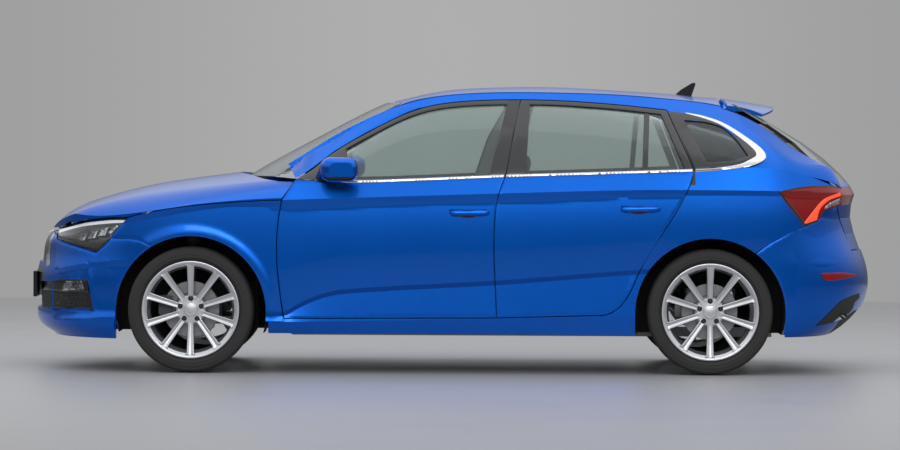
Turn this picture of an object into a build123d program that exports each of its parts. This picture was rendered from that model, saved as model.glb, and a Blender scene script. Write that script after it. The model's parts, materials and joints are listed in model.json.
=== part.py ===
from build123d import *
from math import cos, radians, sin
import os

os.makedirs("parts", exist_ok=True)

# A five-door hatchback. Millimetres, +Z up, the car faces -X and its left side is -Y.
# The origin is on the ground, midway between nose and tail.

# ---------------------------------------------------------------- driving dimensions
WHEELBASE = 2649.0
BODY_WIDTH = 1793.0           # over the wheel arches, without mirrors
FRONT_TRACK = 1530.0
REAR_TRACK = 1516.0
TYRE_RADIUS = 322.0
TYRE_WIDTH = 212.0
RIM_RADIUS = 248.0            # over the flange
ARCH_RADIUS = 384.0
SHUT_GAP = 5.0                # around doors, hood and tailgate
SEAM = 0.8                    # between fixed panels
FIT = 0.3                     # between a piece and its seat
DOOR_WALL = 105.0             # door thickness below the belt line
FRAME_WALL = 42.0             # door frame thickness beside the glass
SKIN_WALL = 26.0              # outer step of a door, which laps over the body
EDGE_STEP = 20.0              # how far the inner part of a door stands back from its edge
PANEL = 28.0                  # hood, roof, fender and quarter wall
GLASS = 5.0
GLASS_INSET = 9.0             # glass behind the door skin
SPOKES = 10
DISC_RADIUS = 144.0           # brake disc
HUB_RADIUS = 40.0             # wheel bearing
RIM_HALF = 96.0               # half width of the rim over its flanges
PILLAR_FOOT = -785.0          # first station of the glasshouse
NOSE_HALF = 874.0             # half width that the nose curve runs out to
TAIL_HALF = 880.0             # half width that the tail curve runs out to
BUMPER_WALL = 45.0
SIDE_WALL = 80.0
GLASS_FIT = 8.0               # how far a pane reaches past its opening
HANDLE_LENGTH = 222.0
HANDLE_HEIGHT = 30.0
PLATE = (520.0, 112.0)        # number plate
GATE_SKIN = 16.0
GATE_WALL = 62.0

HALF = BODY_WIDTH / 2
FRONT_AXLE = -1328.0
REAR_AXLE = FRONT_AXLE + WHEELBASE
AXLE_Z = TYRE_RADIUS
ARCH_Z = 314.0                # centre of the wheel arches

# ---------------------------------------------------------------- body lines
# Each line gives a height (or half width) at stations along the car.
SILL_LINE = [(-1000, 260), (-262, 274), (247, 283), (755, 297), (1000, 302), (2000, 302)]
LOW_CREASE = [(-1000, 300), (-850, 305), (-770, 348), (-667, 392), (-565, 416), (-262, 438), (247, 468),
              (857, 518), (1100, 535), (2000, 560)]
CHARACTER = [(-2100, 640), (-1850, 735), (-1655, 788), (-1583, 809), (-1380, 845), (-1075, 873), (-770, 887),
             (-262, 905), (501, 931), (1009, 944), (1655, 942), (2060, 930)]
VALLEY = [(-2100, 660), (-1655, 760), (-1177, 842), (-973, 846), (-770, 838), (-262, 864), (501, 886),
          (1009, 912), (1655, 915), (2060, 900)]
BELT = [(-907, 982), (-771, 985), (-481, 978), (-262, 985), (272, 1009), (756, 1026), (1235, 1044), (1393, 1055),
        (1600, 1058), (1800, 1025), (2000, 950)]
RAIL_LOW = [(-800, 991), (-725, 1035), (-623, 1114), (-418, 1237), (-264, 1315), (-161, 1354), (-59, 1377),
            (44, 1389), (249, 1400), (453, 1400), (863, 1377), (1171, 1346), (1273, 1330), (1450, 1290),
            (1600, 1205), (1800, 1085), (2000, 956)]
RAIL_TOP = [(-932, 984), (-881, 1013), (-778, 1082), (-675, 1149), (-470, 1270), (-367, 1327), (-264, 1373),
            (-162, 1405), (-59, 1422), (147, 1439), (456, 1443), (869, 1432), (1281, 1397), (1384, 1378),
            (1459, 1352), (1587, 1283), (1742, 1186), (1896, 1061), (2000, 964)]
RAIL_HALF = [(-932, 722), (-778, 695), (-573, 650), (-367, 608), (-162, 588), (147, 576), (869, 562),
             (1384, 545), (1600, 598), (1800, 640), (2000, 690)]
HOOD_CREST = [(-2100, 688), (-2011, 750), (-1960, 792), (-1883, 826), (-1703, 878), (-1497, 919), (-1189, 955),
              (-907, 982), (-800, 990)]
HOOD_TOP = [(-2100, 700), (-2065, 753), (-2012, 798), (-1907, 854), (-1749, 905), (-1538, 956), (-1327, 988),
            (-1132, 1014), (-900, 1040)]
ROOF_TOP = [(-420, 1345), (-340, 1382), (-274, 1400), (-143, 1431), (-13, 1453), (161, 1466), (335, 1471), (572, 1470),
            (994, 1448), (1384, 1419), (1522, 1405), (1627, 1389), (1690, 1374)]
NOSE = [(170, -2080), (195, -2120), (243, -2170), (300, -2170), (360, -2176), (493, -2176), (530, -2165),
        (578, -2158), (640, -2150), (680, -2135), (700, -2110), (760, -2060), (800, -2010)]
TAIL = [(195, 1990), (225, 2050), (284, 2105), (334, 2139), (374, 2170), (437, 2176), (559, 2173), (596, 2160),
        (648, 2134), (727, 2107), (790, 2092), (852, 2082), (891, 2118), (949, 2097), (1001, 2060), (1043, 2023),
        (1111, 1944), (1187, 1838), (1253, 1733), (1289, 1664), (1330, 1585), (1400, 1450)]
SCREEN = [(1000, -1063), (1020, -1030), (1065, -957), (1152, -799), (1264, -588), (1320, -483), (1384, -345)]


def along(line, at):
    """Value of a body line at a station: a smooth curve through its (station, value) pairs."""
    last = len(line) - 1
    at = min(max(at, line[0][0]), line[last][0])
    i = max(j for j in range(last) if line[j][0] <= at)

    def slope(j):
        a, b = line[max(j - 1, 0)], line[min(j + 1, last)]
        return (b[1] - a[1]) / (b[0] - a[0])

    span = line[i + 1][0] - line[i][0]
    t = (at - line[i][0]) / span
    start = (2 * t**3 - 3 * t**2 + 1) * line[i][1] + (t**3 - 2 * t**2 + t) * span * slope(i)
    return start + (3 * t**2 - 2 * t**3) * line[i + 1][1] + (t**3 - t**2) * span * slope(i + 1)


def plan(x):
    """Half width of the body at a station, as a share of the widest: round at nose and tail."""
    if x < -1100:
        return (1 - min((-1100 - x) / 1081, 0.98) ** 3.2) ** (1 / 2.2)
    if x > 1100:
        return (1 - min((x - 1100) / 1081, 0.98) ** 5) ** (1 / 2.4)
    return 1.0


def half(x, below):
    """Half width at a station for a line that lies `below` mm inside the widest line."""
    return (HALF - below) * plan(x)


def across(x):
    """The section plane at a station, with its local x towards +Y and its local y up."""
    return Plane(origin=(x, 0, 0), x_dir=(0, 1, 0), z_dir=(1, 0, 0))


def steps(first, last, count):
    """Evenly spaced stations."""
    return [first + (last - first) * i / (count - 1) for i in range(count)]


def house(x, z):
    """Half width of the glasshouse at a station and height, leaning in more and more."""
    low, top = along(BELT, x), along(RAIL_TOP, x)
    t = min(max((z - low) / (top - low), 0.0), 1.0)
    belt = half(x, 46)
    return belt - (belt - along(RAIL_HALF, x)) * t**1.3


def lower_wall(stations, inset, wall, top=CHARACTER, top_below=12.0):
    """Body side from the sill to its upper line: `wall` thick, `inset` behind the skin."""
    with BuildPart() as piece:
        for x in stations:
            crease, valley = along(LOW_CREASE, x), along(VALLEY, x)
            line, sill = along(CHARACTER, x), along(SILL_LINE, x)
            mid = (crease + valley) / 2
            a = (half(x, 52) - inset, 204)
            b = (half(x, 34) - inset, sill)
            c = (half(x, 44) - inset, crease - 12)
            d = (half(x, 28) - inset, crease + 12)
            e = (half(x, 17) - inset, mid)
            f = (half(x, 26) - inset, valley)
            g = (half(x, 12) - inset, line)
            with BuildSketch(across(x)):
                with BuildLine():
                    Polyline(a, b, c, d)
                    Spline(d, e, f)
                    Line(f, g)
                    if top is BELT:
                        h = (half(x, 46) - inset, along(BELT, x))
                        Line(g, h)
                        Polyline(h, (h[0] - wall, h[1]), (a[0] - wall, 204), a)
                    else:
                        Polyline(g, (g[0] - wall, g[1]), (a[0] - wall, 204), a)
                make_face()
        loft()
    return piece.part


def upper_wall(stations, inset, wall, drop=7.0):
    """Glasshouse side from the belt to the roof rail."""
    with BuildPart() as piece:
        for x in stations:
            low, mid, top = along(BELT, x), along(RAIL_LOW, x), along(RAIL_TOP, x) - drop
            a = (house(x, low) - inset, low - 4)
            b = (house(x, (low + mid) / 2) - inset, (low + mid) / 2)
            c = (house(x, mid) - inset, mid)
            d = (along(RAIL_HALF, x) - inset, top)
            with BuildSketch(across(x)):
                with BuildLine():
                    Spline(a, b, c)
                    Polyline(c, d, (d[0] - wall, top), (c[0] - wall, mid))
                    Spline((c[0] - wall, mid), (b[0] - wall, b[1]), (a[0] - wall, a[1]))
                    Line((a[0] - wall, a[1]), a)
                make_face()
        loft()
    return piece.part


def inner_wall(stations, inset, wall):
    """A flat-sided inner panel from the sill to just above the belt, `inset` behind the skin."""
    with BuildPart() as piece:
        for x in stations:
            foot, head, top = half(x, 52) - inset, half(x, 46) - inset, along(BELT, x) + 25
            with BuildSketch(across(x)):
                with BuildLine():
                    Polyline((foot, 204), (head, top), (head - wall, top), (foot - wall, 204), (foot, 204))
                make_face()
        loft()
    return piece.part


def nose_x(y, front, side=NOSE_HALF):
    """Station of the nose at a distance from the centre line, where its foremost point is `front`."""
    share = min(abs(y) / side, 1.0)
    return -1100 - (-1100 - front) * (1 - share**2.2) ** (1 / 3.2)


def tail_x(y, back, side=TAIL_HALF):
    """Station of the tail at a distance from the centre line, where its rearmost point is `back`."""
    share = min(abs(y) / side, 1.0)
    return 1100 + (back - 1100) * (1 - share**2.4) ** (1 / 5)


WIDE = (-1, -0.93, -0.82, -0.66, -0.42, 0, 0.42, 0.66, 0.82, 0.93, 1)
NARROW = (-1, -0.85, -0.5, 0, 0.5, 0.85, 1)


def end_wall(heights, end_x, line, inset, wall, reach, shares=WIDE):
    """A nose or tail shell: level sections, each following the plan curve of its height."""
    inward = 1 if end_x is nose_x else -1
    with BuildPart() as piece:
        for z in heights:
            edge = reach(z) if callable(reach) else reach
            spread = [edge * share for share in shares]
            far = along(line, z) + inward * inset
            outer = [(end_x(y, far), y) for y in spread]
            inner = [(x + inward * wall, y * (1 - wall * abs(y / HALF) ** 3 / HALF)) for x, y in reversed(outer)]
            with BuildSketch(Plane.XY.offset(z)):
                with BuildLine():
                    Spline(*outer)
                    Line(outer[-1], inner[0])
                    Spline(*inner)
                    Line(inner[-1], outer[0])
                make_face()
        loft(ruled=shares is NARROW)
    return piece.part


# ---------------------------------------------------------------- outlines in side view
def front_door_line():
    """Closed outline of the front door, from the foot of the windscreen pillar round."""
    pillar = Spline((-796, 991), (-725, 1035), (-623, 1114), (-418, 1237), (-264, 1315), (-161, 1354), (-59, 1377),
                    (100, 1394), (249, 1400), (352, 1401))
    back = Spline(pillar @ 1, (311, 1206), (272, 1011), (241, 925), (219, 780), (216, 635), (222, 480), (231, 288))
    foot = Line(back @ 1, (-852, 280))
    front = Spline(foot @ 1, (-877, 451), (-890, 600), (-884, 760), (-864, 886))
    Line(front @ 1, pillar @ 0)


def rear_door_line():
    """Closed outline of the rear door, whose back edge curves round the wheel arch."""
    top = Spline((352, 1401), (560, 1397), (860, 1377), (1103, 1352))
    back = Polyline(top @ 1, (1235, 1042))
    low = Spline(back @ 1, (1200, 940), (1085, 741), (958, 527), (892, 388), (830, 325), (740, 303))
    foot = Line(low @ 1, (231, 288))
    Spline(foot @ 1, (222, 480), (216, 635), (219, 780), (241, 925), (272, 1011), (311, 1206), top @ 0)


def front_window_line():
    """Closed outline of the front door's glass opening."""
    head = Spline((-540, 1146), (-418, 1213), (-264, 1291), (-161, 1330), (-59, 1353), (100, 1370), (283, 1377))
    back = Line(head @ 1, (190, 1012))
    foot = Spline(back @ 1, (-262, 992), (-540, 986))
    Line(foot @ 1, head @ 0)


def rear_window_line():
    """Closed outline of the rear door's glass opening."""
    head = Spline((400, 1377), (560, 1374), (860, 1354), (1072, 1331))
    back = Line(head @ 1, (1190, 1052))
    foot = Line(back @ 1, (376, 1020))
    Line(foot @ 1, head @ 0)


def quarter_window_line():
    """Closed outline of the fixed glass behind the rear door."""
    head = Spline((1190, 1301), (1300, 1292), (1400, 1258), (1460, 1196), (1512, 1122))
    foot = Spline(head @ 1, (1453, 1098), (1299, 1084))
    Line(foot @ 1, head @ 0)


def loop(*points):
    """A closed outline of straight runs."""
    return lambda: Polyline(*points, points[0])


def fender_line():
    """Closed outline of the front fender, but for the wheel arch."""
    top = Spline(*[(x, along(CHARACTER, x) - SHUT_GAP / 2) for x in SHOULDER])
    back = Spline(top @ 1, (-887, 760), (-893, 600), (-880, 451), (-855, 264))
    foot = Line(back @ 1, (-1328, 264))
    rise = Line(foot @ 1, (-1328, 600))
    seam = Spline(rise @ 1, (-1536, 655), (-1587, 675), (-1663, 684), (-1740, 689))
    Line(seam @ 1, top @ 0)


def tail_lamp_line():
    """Closed outline of the tail lamp on the body side."""
    top = Spline((1662, 938), (1780, 962), (1900, 971), (1996, 963))
    back = Line(top @ 1, (1996, 871))
    low = Polyline(back @ 1, (1948, 858), (1900, 841), (1878, 800), (1800, 763))
    Spline(low @ 1, (1735, 840), top @ 0)


SHOULDER = [-1650, -1583, -1480, -1380, -1230, -1075, -970, -869]
HEADLAMP = [(-2045, 722), (-2040, 670), (-1816, 609), (-1760, 660), (-1655, 776), (-1662, 785), (-1750, 784),
            (-1878, 768), (-1955, 747)]
FRONT_BUMPER = [(-2250, 706), (-2046, 706), (-2030, 690), (-1816, 640), (-1742, 700), (-1663, 696), (-1587, 686),
                (-1536, 666), (-1400, 610), (-1400, 150), (-2250, 150)]
INTAKE = [(-2300, 302), (-1852, 320), (-1828, 300), (-1862, 470), (-2006, 467), (-2060, 452), (-2300, 440)]
FOG_LAMP = [(-1985, 460), (-1893, 465), (-1878, 414), (-2010, 403)]
REAR_BUMPER = [(1400, 520), (1561, 633), (1622, 672), (1673, 700), (1724, 731), (1800, 761), (1880, 797),
               (1902, 838), (1998, 868), (2250, 868), (2250, 358), (2080, 320), (2000, 275), (1958, 228),
               (1950, 190), (1400, 190)]


def drawn_in(outline, inset):
    """The edges of a side outline moved inwards by `inset`, in order."""
    with BuildSketch() as flat:
        with BuildLine():
            outline()
        make_face()
        offset(amount=-inset, mode=Mode.REPLACE)
    return flat.face().outer_wire().order_edges()


def redraw(edge):
    """Draws an edge again as a line, an arc or a spline through points of it."""
    if edge.geom_type == GeomType.LINE or edge.length < 2:
        Line(edge @ 0, edge @ 1)
    elif edge.geom_type == GeomType.CIRCLE:
        ThreePointArc(edge @ 0, edge @ 0.5, edge @ 1)
    else:
        Spline(*[edge @ (i / 12) for i in range(13)])


def side_prism(outline, inset=0.0, whole=False):
    """A bar across the car's right half, or all of it, with the given side outline, drawn in by `inset`."""
    edges = drawn_in(outline, inset) if inset else []
    with BuildPart() as bar:
        with BuildSketch(Plane.XZ):
            with BuildLine():
                if edges:
                    for edge in edges:
                        redraw(edge)
                else:
                    outline()
            make_face()
        extrude(amount=-1200, both=whole)
    return bar.part


def arch(x, whole=False, radius=ARCH_RADIUS):
    """The space of one wheel arch, or of both on an axle: a drum with straight sides down."""
    with BuildPart() as space:
        with BuildSketch(Plane.XZ):
            with Locations((x, ARCH_Z)):
                Circle(radius)
            with Locations((x, ARCH_Z - 300)):
                Rectangle(2 * radius, 600)
        extrude(amount=-1200, both=whole)
    return space.part


def finish(part, name):
    part.label = name
    export_step(part, f"parts/{name}.step")
    print(name, len(part.solids()), round(part.volume / 1e6, 2), "litres")


def block(x, y, z, length, width, height, rounding=0.0):
    """A block with its centre at a place and, if asked, rounded along its width."""
    with BuildPart() as body:
        with Locations((x, y, z)):
            Box(length, width, height)
        if rounding:
            fillet(body.edges().filter_by(Axis.Y), rounding)
    return body.part


def cylinder_y(x, y0, y1, z, radius):
    """A round bar across the car."""
    with BuildPart() as bar:
        with BuildSketch(Plane.XZ.offset(-y0)):
            with Locations((x, z)):
                Circle(radius)
        extrude(amount=-(y1 - y0))
    return bar.part


def cylinder_z(x, y, z0, z1, radius):
    """An upright round bar."""
    with BuildPart() as bar:
        with BuildSketch(Plane.XY.offset(z0)):
            with Locations((x, y)):
                Circle(radius)
        extrude(amount=z1 - z0)
    return bar.part


def both_sides(name, part):
    """Right piece and its mirror image, as the right_ and left_ nodes or as one node."""
    with BuildPart() as pair:
        add(part)
        mirror(part, about=Plane.XZ)
    finish(pair.part, name)


def left_and_right(right_name, left_name, part):
    """A piece of the car's right side and its mirror image on the left."""
    with BuildPart() as left:
        mirror(part, about=Plane.XZ)
    finish(part, right_name)
    finish(left.part, left_name)
    return left.part


# ---------------------------------------------------------------- doors
def cut_from(blank, *shapes):
    """What is left of a piece when other solids are taken from it."""
    with BuildPart() as rest:
        add(blank)
        for shape in shapes:
            add(shape, mode=Mode.SUBTRACT)
    return rest.part


def within(blank, *shapes):
    """What a piece shares with each of some other solids."""
    with BuildPart() as common:
        add(blank)
        for shape in shapes:
            add(shape, mode=Mode.INTERSECT)
    return common.part


def joined(*pieces):
    """One part made of pieces that meet."""
    with BuildPart() as whole:
        for piece in pieces:
            add(piece)
    return whole.part


def door(first, last, outline, window):
    """Door: outer step, inner body and window frame from one skin, with its window and its glass run cut."""
    stations = steps(first, last, 8)
    edge = side_prism(outline, SHUT_GAP / 2)
    opening = side_prism(window)
    upper = steps(max(first, PILLAR_FOOT), last, 8)
    frame = within(upper_wall(upper, 0, FRAME_WALL), edge)
    skin = within(lower_wall(stations, 0, SKIN_WALL, BELT), edge)
    core = lower_wall(stations, SKIN_WALL, DOOR_WALL - SKIN_WALL, BELT)
    core = within(core, side_prism(outline, SHUT_GAP / 2 + EDGE_STEP))
    return joined(cut_from(skin, opening), cut_from(frame, opening), cut_from(core, opening))


def glass_run(first, last, outline):
    """The groove round a window opening that takes the edge of its pane."""
    groove = upper_wall(steps(first, last, 6), GLASS_INSET - FIT, GLASS + 2 * FIT, 15)
    return within(groove, side_prism(outline, -GLASS_FIT - FIT))


def handle(x, z):
    """Pull handle: a bow that stands off the door skin, with room for the fingers behind it."""
    with BuildPart() as grip:
        with BuildSketch(Plane.XY.offset(z - HANDLE_HEIGHT / 2)):
            with BuildLine():
                ThreePointArc((x - HANDLE_LENGTH / 2, 866), (x, HALF - 1), (x + HANDLE_LENGTH / 2, 866))
                Line((x + HANDLE_LENGTH / 2, 866), (x - HANDLE_LENGTH / 2, 866))
            make_face()
        extrude(amount=HANDLE_HEIGHT)
        with BuildSketch(Plane.XY.offset(z - HANDLE_HEIGHT / 2)):
            with BuildLine():
                ThreePointArc((x - HANDLE_LENGTH / 2 + 30, 860), (x, HALF - 12), (x + HANDLE_LENGTH / 2 - 30, 860))
                Line((x + HANDLE_LENGTH / 2 - 30, 860), (x - HANDLE_LENGTH / 2 + 30, 860))
            make_face()
        extrude(amount=HANDLE_HEIGHT, mode=Mode.SUBTRACT)
    return grip.part


HINGE_Y = 872.0               # door hinges, close under the skin
HINGE_PIN = 4.0
HINGE_NECK = 10.0             # how far the hinge arm is narrow beside its pin
FRONT_HINGE = (-845, (520, 700))
REAR_HINGE = (262, (600, 760))


def hinge_space(x, heights):
    """Pockets in a door's front edge for its two hinges, with the bores that take their pins."""
    spaces = []
    for z in heights:
        spaces.append(block(x - 15, (600 + HINGE_Y + 2.5) / 2, z, 90, HINGE_Y + 2.5 - 600, 60))
        spaces.append(cylinder_z(x, HINGE_Y, z - 40, z + 40, HINGE_PIN + FIT))
    return spaces


def hinge(x, heights, root):
    """Two hinge arms that stand out from the body at `root`, each with a narrow neck and its pin."""
    end = HINGE_Y - HINGE_NECK
    arms = [block(x, (root + end) / 2, z, 12, end - root, 30) for z in heights]
    necks = [block(x, (end - 2 + HINGE_Y) / 2, z, 4.4, HINGE_NECK + 2, 30) for z in heights]
    pins = [cylinder_z(x, HINGE_Y, z - 40 + FIT, z + 40 - FIT, HINGE_PIN) for z in heights]
    return joined(*arms, *necks, *pins)


front_door = door(-905, 370, front_door_line, front_window_line)
rear_door = door(200, 1250, rear_door_line, rear_window_line)
front_door = cut_from(joined(front_door, handle(84, 826)), glass_run(-600, 330, front_window_line),
                      *hinge_space(*FRONT_HINGE))
rear_door = cut_from(joined(rear_door, handle(953, 848)), glass_run(340, 1230, rear_window_line),
                     *hinge_space(*REAR_HINGE))
left_and_right("front_right_door", "front_left_door", front_door)
left_and_right("rear_right_door", "rear_left_door", rear_door)


def side_glass(first, last, *outlines):
    """Panes bonded behind a window opening, a little larger than it."""
    sheet = upper_wall(steps(first, last, 6), GLASS_INSET, GLASS, 16)
    panes = [within(sheet, side_prism(outline, -GLASS_FIT)) for outline in outlines]
    return joined(*panes)


left_and_right("front_right_window", "front_left_window", side_glass(-600, 330, front_window_line))
left_and_right("rear_right_window", "rear_left_window", side_glass(340, 1230, rear_window_line))
both_sides("quarter_windows", side_glass(1150, 1560, quarter_window_line))

# ---------------------------------------------------------------- tailgate and tail
def gate_reach(z):
    """Half width of the tailgate at a height."""
    return along([(600, 560), (760, 575), (868, 640), (965, 676), (1061, 662), (1186, 622), (1283, 590),
                  (1352, 556), (1400, 540)], z)


GATE_LEVELS = [638, 720, 800, 868, 920, 965, 1061, 1186, 1283, 1352, 1384]
GATE_FOOT = GATE_LEVELS[0] - SHUT_GAP


def tail_shell(levels, inset, wall, spare):
    """A tailgate layer whose edges stand `spare` inside its half width."""
    return end_wall(levels, tail_x, TAIL, inset, wall, lambda z: gate_reach(z) - spare, NARROW)


gate_skin = tail_shell(GATE_LEVELS, 0, GATE_SKIN, SHUT_GAP)
gate_core = tail_shell(GATE_LEVELS, GATE_SKIN, GATE_WALL - GATE_SKIN, 62)
with BuildPart() as gate_way:
    with BuildSketch(Plane.YZ.offset(1387)):
        with BuildLine():
            side = Spline(*[(gate_reach(z) + 5, z) for z in reversed(GATE_LEVELS)])
            low = Polyline(side @ 1, (side @ 1 - (0, SHUT_GAP)), (-(side @ 1).X, GATE_FOOT),
                           (-(side @ 1).X, GATE_LEVELS[0]))
            mirror(side, about=Plane.YZ)
            Polyline((-(side @ 0).X, (side @ 0).Y), (-540, 1480), (540, 1480), side @ 0)
        make_face()
    extrude(amount=900)
gate_space = gate_way.part

with BuildPart() as rear_opening:
    with BuildSketch(Plane.YZ.offset(1300)):
        with BuildLine():
            Polyline((-470, 1285), (470, 1285), (560, 1040), (-560, 1040), (-470, 1285))
        make_face()
        fillet(vertices(), 40)
    extrude(amount=900)
with BuildPart() as gate_middle:
    with Locations((2000, 0, 900)):
        Box(900, 660, 400)
lamp_bar = side_prism(loop((2004, 871), (2004, 962), (2300, 940), (2300, 895)), 0, True)
lamp_zone = cut_from(lamp_bar, gate_middle.part)
gate_lamps = within(gate_skin, lamp_zone)
tailgate = cut_from(joined(cut_from(gate_skin, lamp_zone), gate_core), rear_opening.part)
rear_pane = tail_shell([1020, 1100, 1186, 1283, 1310], 5, GLASS, 30)
with BuildPart() as pane_bar:
    with BuildSketch(Plane.YZ.offset(1300)):
        with BuildLine():
            Polyline((-478, 1295), (478, 1295), (571, 1030), (-571, 1030), (-478, 1295))
        make_face()
        fillet(vertices(), 44)
    extrude(amount=900)
rear_glass = within(rear_pane, pane_bar.part)
finish(rear_glass, "rear_window")
pane_seat = within(tail_shell([1020, 1100, 1186, 1283, 1310], -30, GLASS + 35.3, 30), pane_bar.part)


def spoiler_form(raised, lowered):
    """Roof spoiler above the rear window, with its upper and lower faces moved apart."""
    with BuildPart() as spoiler:
        for reach, back in ((-536, 1600), (-360, 1660), (0, 1688), (360, 1660), (536, 1600)):
            top = 1417 - 0.00014 * reach**2 + raised
            low = 1417 - 0.00014 * reach**2 - lowered
            with BuildSketch(Plane.XZ.offset(-reach)):
                with BuildLine():
                    Spline((1420, top), (1520, top - 15), (back, top - 44))
                    Polyline((back, top - 44), (back - 4, low - 56), (1590, low - 56), (1500, low - 32),
                             (1396, low - 22), (1396, top - 17), (1412, top - 12), (1420, top))
                make_face()
        loft()
    return spoiler.part


ROOF_END = 1384.0
GATE_PIVOT = (1392.0, 1398.0)
barrels = [cylinder_y(GATE_PIVOT[0], y - 30, y + 30, GATE_PIVOT[1], GATE_PIVOT[0] - ROOF_END - FIT)
           for y in (-380, 380)]
gate_arms = [block(GATE_PIVOT[0] + 7.5, y, GATE_PIVOT[1] - 9, 21, 40, 21) for y in (-372, 372)]
finish(joined(spoiler_form(0, 0), *barrels, *gate_arms), "roof_spoiler")
tailgate = cut_from(tailgate, pane_seat, spoiler_form(60, 0.3), block(GATE_PIVOT[0], 0, 1398, 18, 900, 40))
finish(tailgate, "tailgate")
finish(cut_from(gate_lamps, gate_core), "tailgate_lamps")

# ---------------------------------------------------------------- side frames
side_low = lower_wall(steps(-945, 1990, 16), 0, SIDE_WALL, BELT)
side_top = upper_wall(steps(PILLAR_FOOT, 1990, 16), 0, FRAME_WALL)
inner_rail = upper_wall(steps(-600, 1380, 10), FRAME_WALL - 1, 30, 17)
rail_zone = side_prism(loop((-640, 1110), (-418, 1245), (-264, 1323), (-161, 1362), (-59, 1385), (44, 1397),
                            (249, 1408), (453, 1408), (863, 1385), (1171, 1354), (1273, 1338), (1400, 1310),
                            (1400, 1500), (-640, 1500)))
doorway = [side_prism(front_door_line, -SHUT_GAP / 2), side_prism(rear_door_line, -SHUT_GAP / 2)]
side_skin = cut_from(joined(side_low, side_top), *doorway)
side_skin = cut_from(side_skin, side_prism(quarter_window_line), arch(REAR_AXLE))
side_skin = cut_from(side_skin, side_prism(loop(*REAR_BUMPER), -SEAM), side_prism(tail_lamp_line, -SEAM))
side_skin = cut_from(side_skin, side_prism(fender_line, -SEAM), gate_space)
side_skin = cut_from(side_skin, block(2000, 700, 500, 200, 400, 762), glass_run(1150, 1560, quarter_window_line))
with BuildPart() as front_end:
    with Locations((-950, 600, 800)):
        Box(320, 1200, 1200)
sill_foot = side_prism(loop((-930, 100), (-930, 262), (-857, 262), (-857, 290), (-780, 290), (-780, 100)))
side_skin = cut_from(side_skin, cut_from(front_end.part, sill_foot))
POST_INSET = DOOR_WALL + 8
POST_WALL = 34.0
post_low = within(inner_wall(steps(120, 340, 3), POST_INSET, POST_WALL), block(230, 700, 617, 200, 400, 826))
post_top = upper_wall(steps(120, 460, 4), FRAME_WALL + 6, 70, 10)
post_top = within(post_top, side_prism(loop((130, 1016), (330, 1016), (440, 1450), (330, 1450), (190, 1200))))
front_post = within(inner_wall(steps(-935, -795, 3), POST_INSET, POST_WALL), block(-865, 700, 559, 140, 400, 710))
post = joined(post_low, post_top, front_post, hinge(*FRONT_HINGE, HALF - 52 - POST_INSET - 10),
              hinge(*REAR_HINGE, HALF - 52 - POST_INSET - 10))
sill_box = lower_wall(steps(-940, 930, 6), SIDE_WALL - 2, 70, CHARACTER)
sill_box = within(sill_box, side_prism(loop((-935, 204), (-935, 262), (925, 300), (925, 204))))
side_frame = joined(side_skin, within(inner_rail, rail_zone), sill_box, post)
left_and_right("right_side_frame", "left_side_frame", side_frame)

side_lamp = within(lower_wall(steps(1640, 2010, 8), 0, 60, BELT), side_prism(tail_lamp_line))
both_sides("rear_lamps", cut_from(side_lamp, gate_space))

# ---------------------------------------------------------------- front fenders
fender = within(lower_wall(steps(-1750, -850, 8), 0, PANEL), side_prism(fender_line))
fender = cut_from(fender, arch(FRONT_AXLE))
both_sides("front_fenders", fender)

# ---------------------------------------------------------------- bumpers, grille and lamps
NOSE_LEVELS = [170, 215, 260, 330, 420, 500, 560, 640, 706]
nose = end_wall(NOSE_LEVELS, nose_x, NOSE, 0, BUMPER_WALL, 866)
bumper_bar = side_prism(loop(*FRONT_BUMPER), 0, True)
intake_bar = side_prism(loop(*INTAKE), 0, True)
with BuildPart() as grille_space:
    with BuildSketch(Plane.YZ.offset(-2300)):
        with BuildLine():
            Polyline((-400, 712), (400, 712), (345, 548), (-345, 548), (-400, 712))
        make_face()
    extrude(amount=700)
fender_bar = side_prism(fender_line, -SEAM, True)
front_bumper = cut_from(within(nose, bumper_bar), intake_bar, grille_space.part, arch(FRONT_AXLE, True), fender_bar)
front_bumper = cut_from(front_bumper, side_prism(loop(*HEADLAMP), -SEAM, True))
front_bumper = joined(front_bumper, block(-2171, 0, 430, 20, PLATE[0] + 20, PLATE[1] + 20))
finish(front_bumper, "front_bumper")
grille = within(end_wall(NOSE_LEVELS[5:], nose_x, NOSE, 15, 20, 420), grille_space.part)
finish(grille, "grille")
fog_bar = side_prism(loop(*FOG_LAMP), 0, True)
fog_lamps = within(end_wall(NOSE_LEVELS[2:6], nose_x, NOSE, 4, 30, 866), fog_bar)
finish(fog_lamps, "fog_lamps")
intake_panel = within(end_wall(NOSE_LEVELS[2:6], nose_x, NOSE, 20, 20, 866), intake_bar)
finish(cut_from(intake_panel, side_prism(loop(*FOG_LAMP), -SEAM, True)), "lower_intake")
with BuildPart() as lamp_gap:
    with Locations((-2000, 0, 700)):
        Box(600, 2 * 403, 400)
lamp_levels = [600, 660, 700, 740, 800]
lamp_shell = end_wall(lamp_levels, nose_x, NOSE, 0, 90, 866)
headlamps = cut_from(within(lamp_shell, side_prism(loop(*HEADLAMP), 0, True)), lamp_gap.part, fender_bar)
finish(headlamps, "headlamps")

TAIL_LEVELS = [195, 374, 560, 727, 868]
tail_band = end_wall(TAIL_LEVELS, tail_x, TAIL, 0, BUMPER_WALL, 850)
rear_bumper = within(tail_band, side_prism(loop(*REAR_BUMPER), 0, True))
rear_bumper = cut_from(rear_bumper, gate_space, arch(REAR_AXLE, True))
finish(rear_bumper, "rear_bumper")
diffuser = within(end_wall([195, 284, 374], tail_x, TAIL, 0, BUMPER_WALL, 850),
                  side_prism(loop((1950, 150), (1950, 250), (2002, 300), (2080, 350), (2250, 372), (2250, 150)), 0,
                             True))
finish(cut_from(diffuser, side_prism(loop(*REAR_BUMPER), -SEAM, True)), "rear_diffuser")

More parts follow.
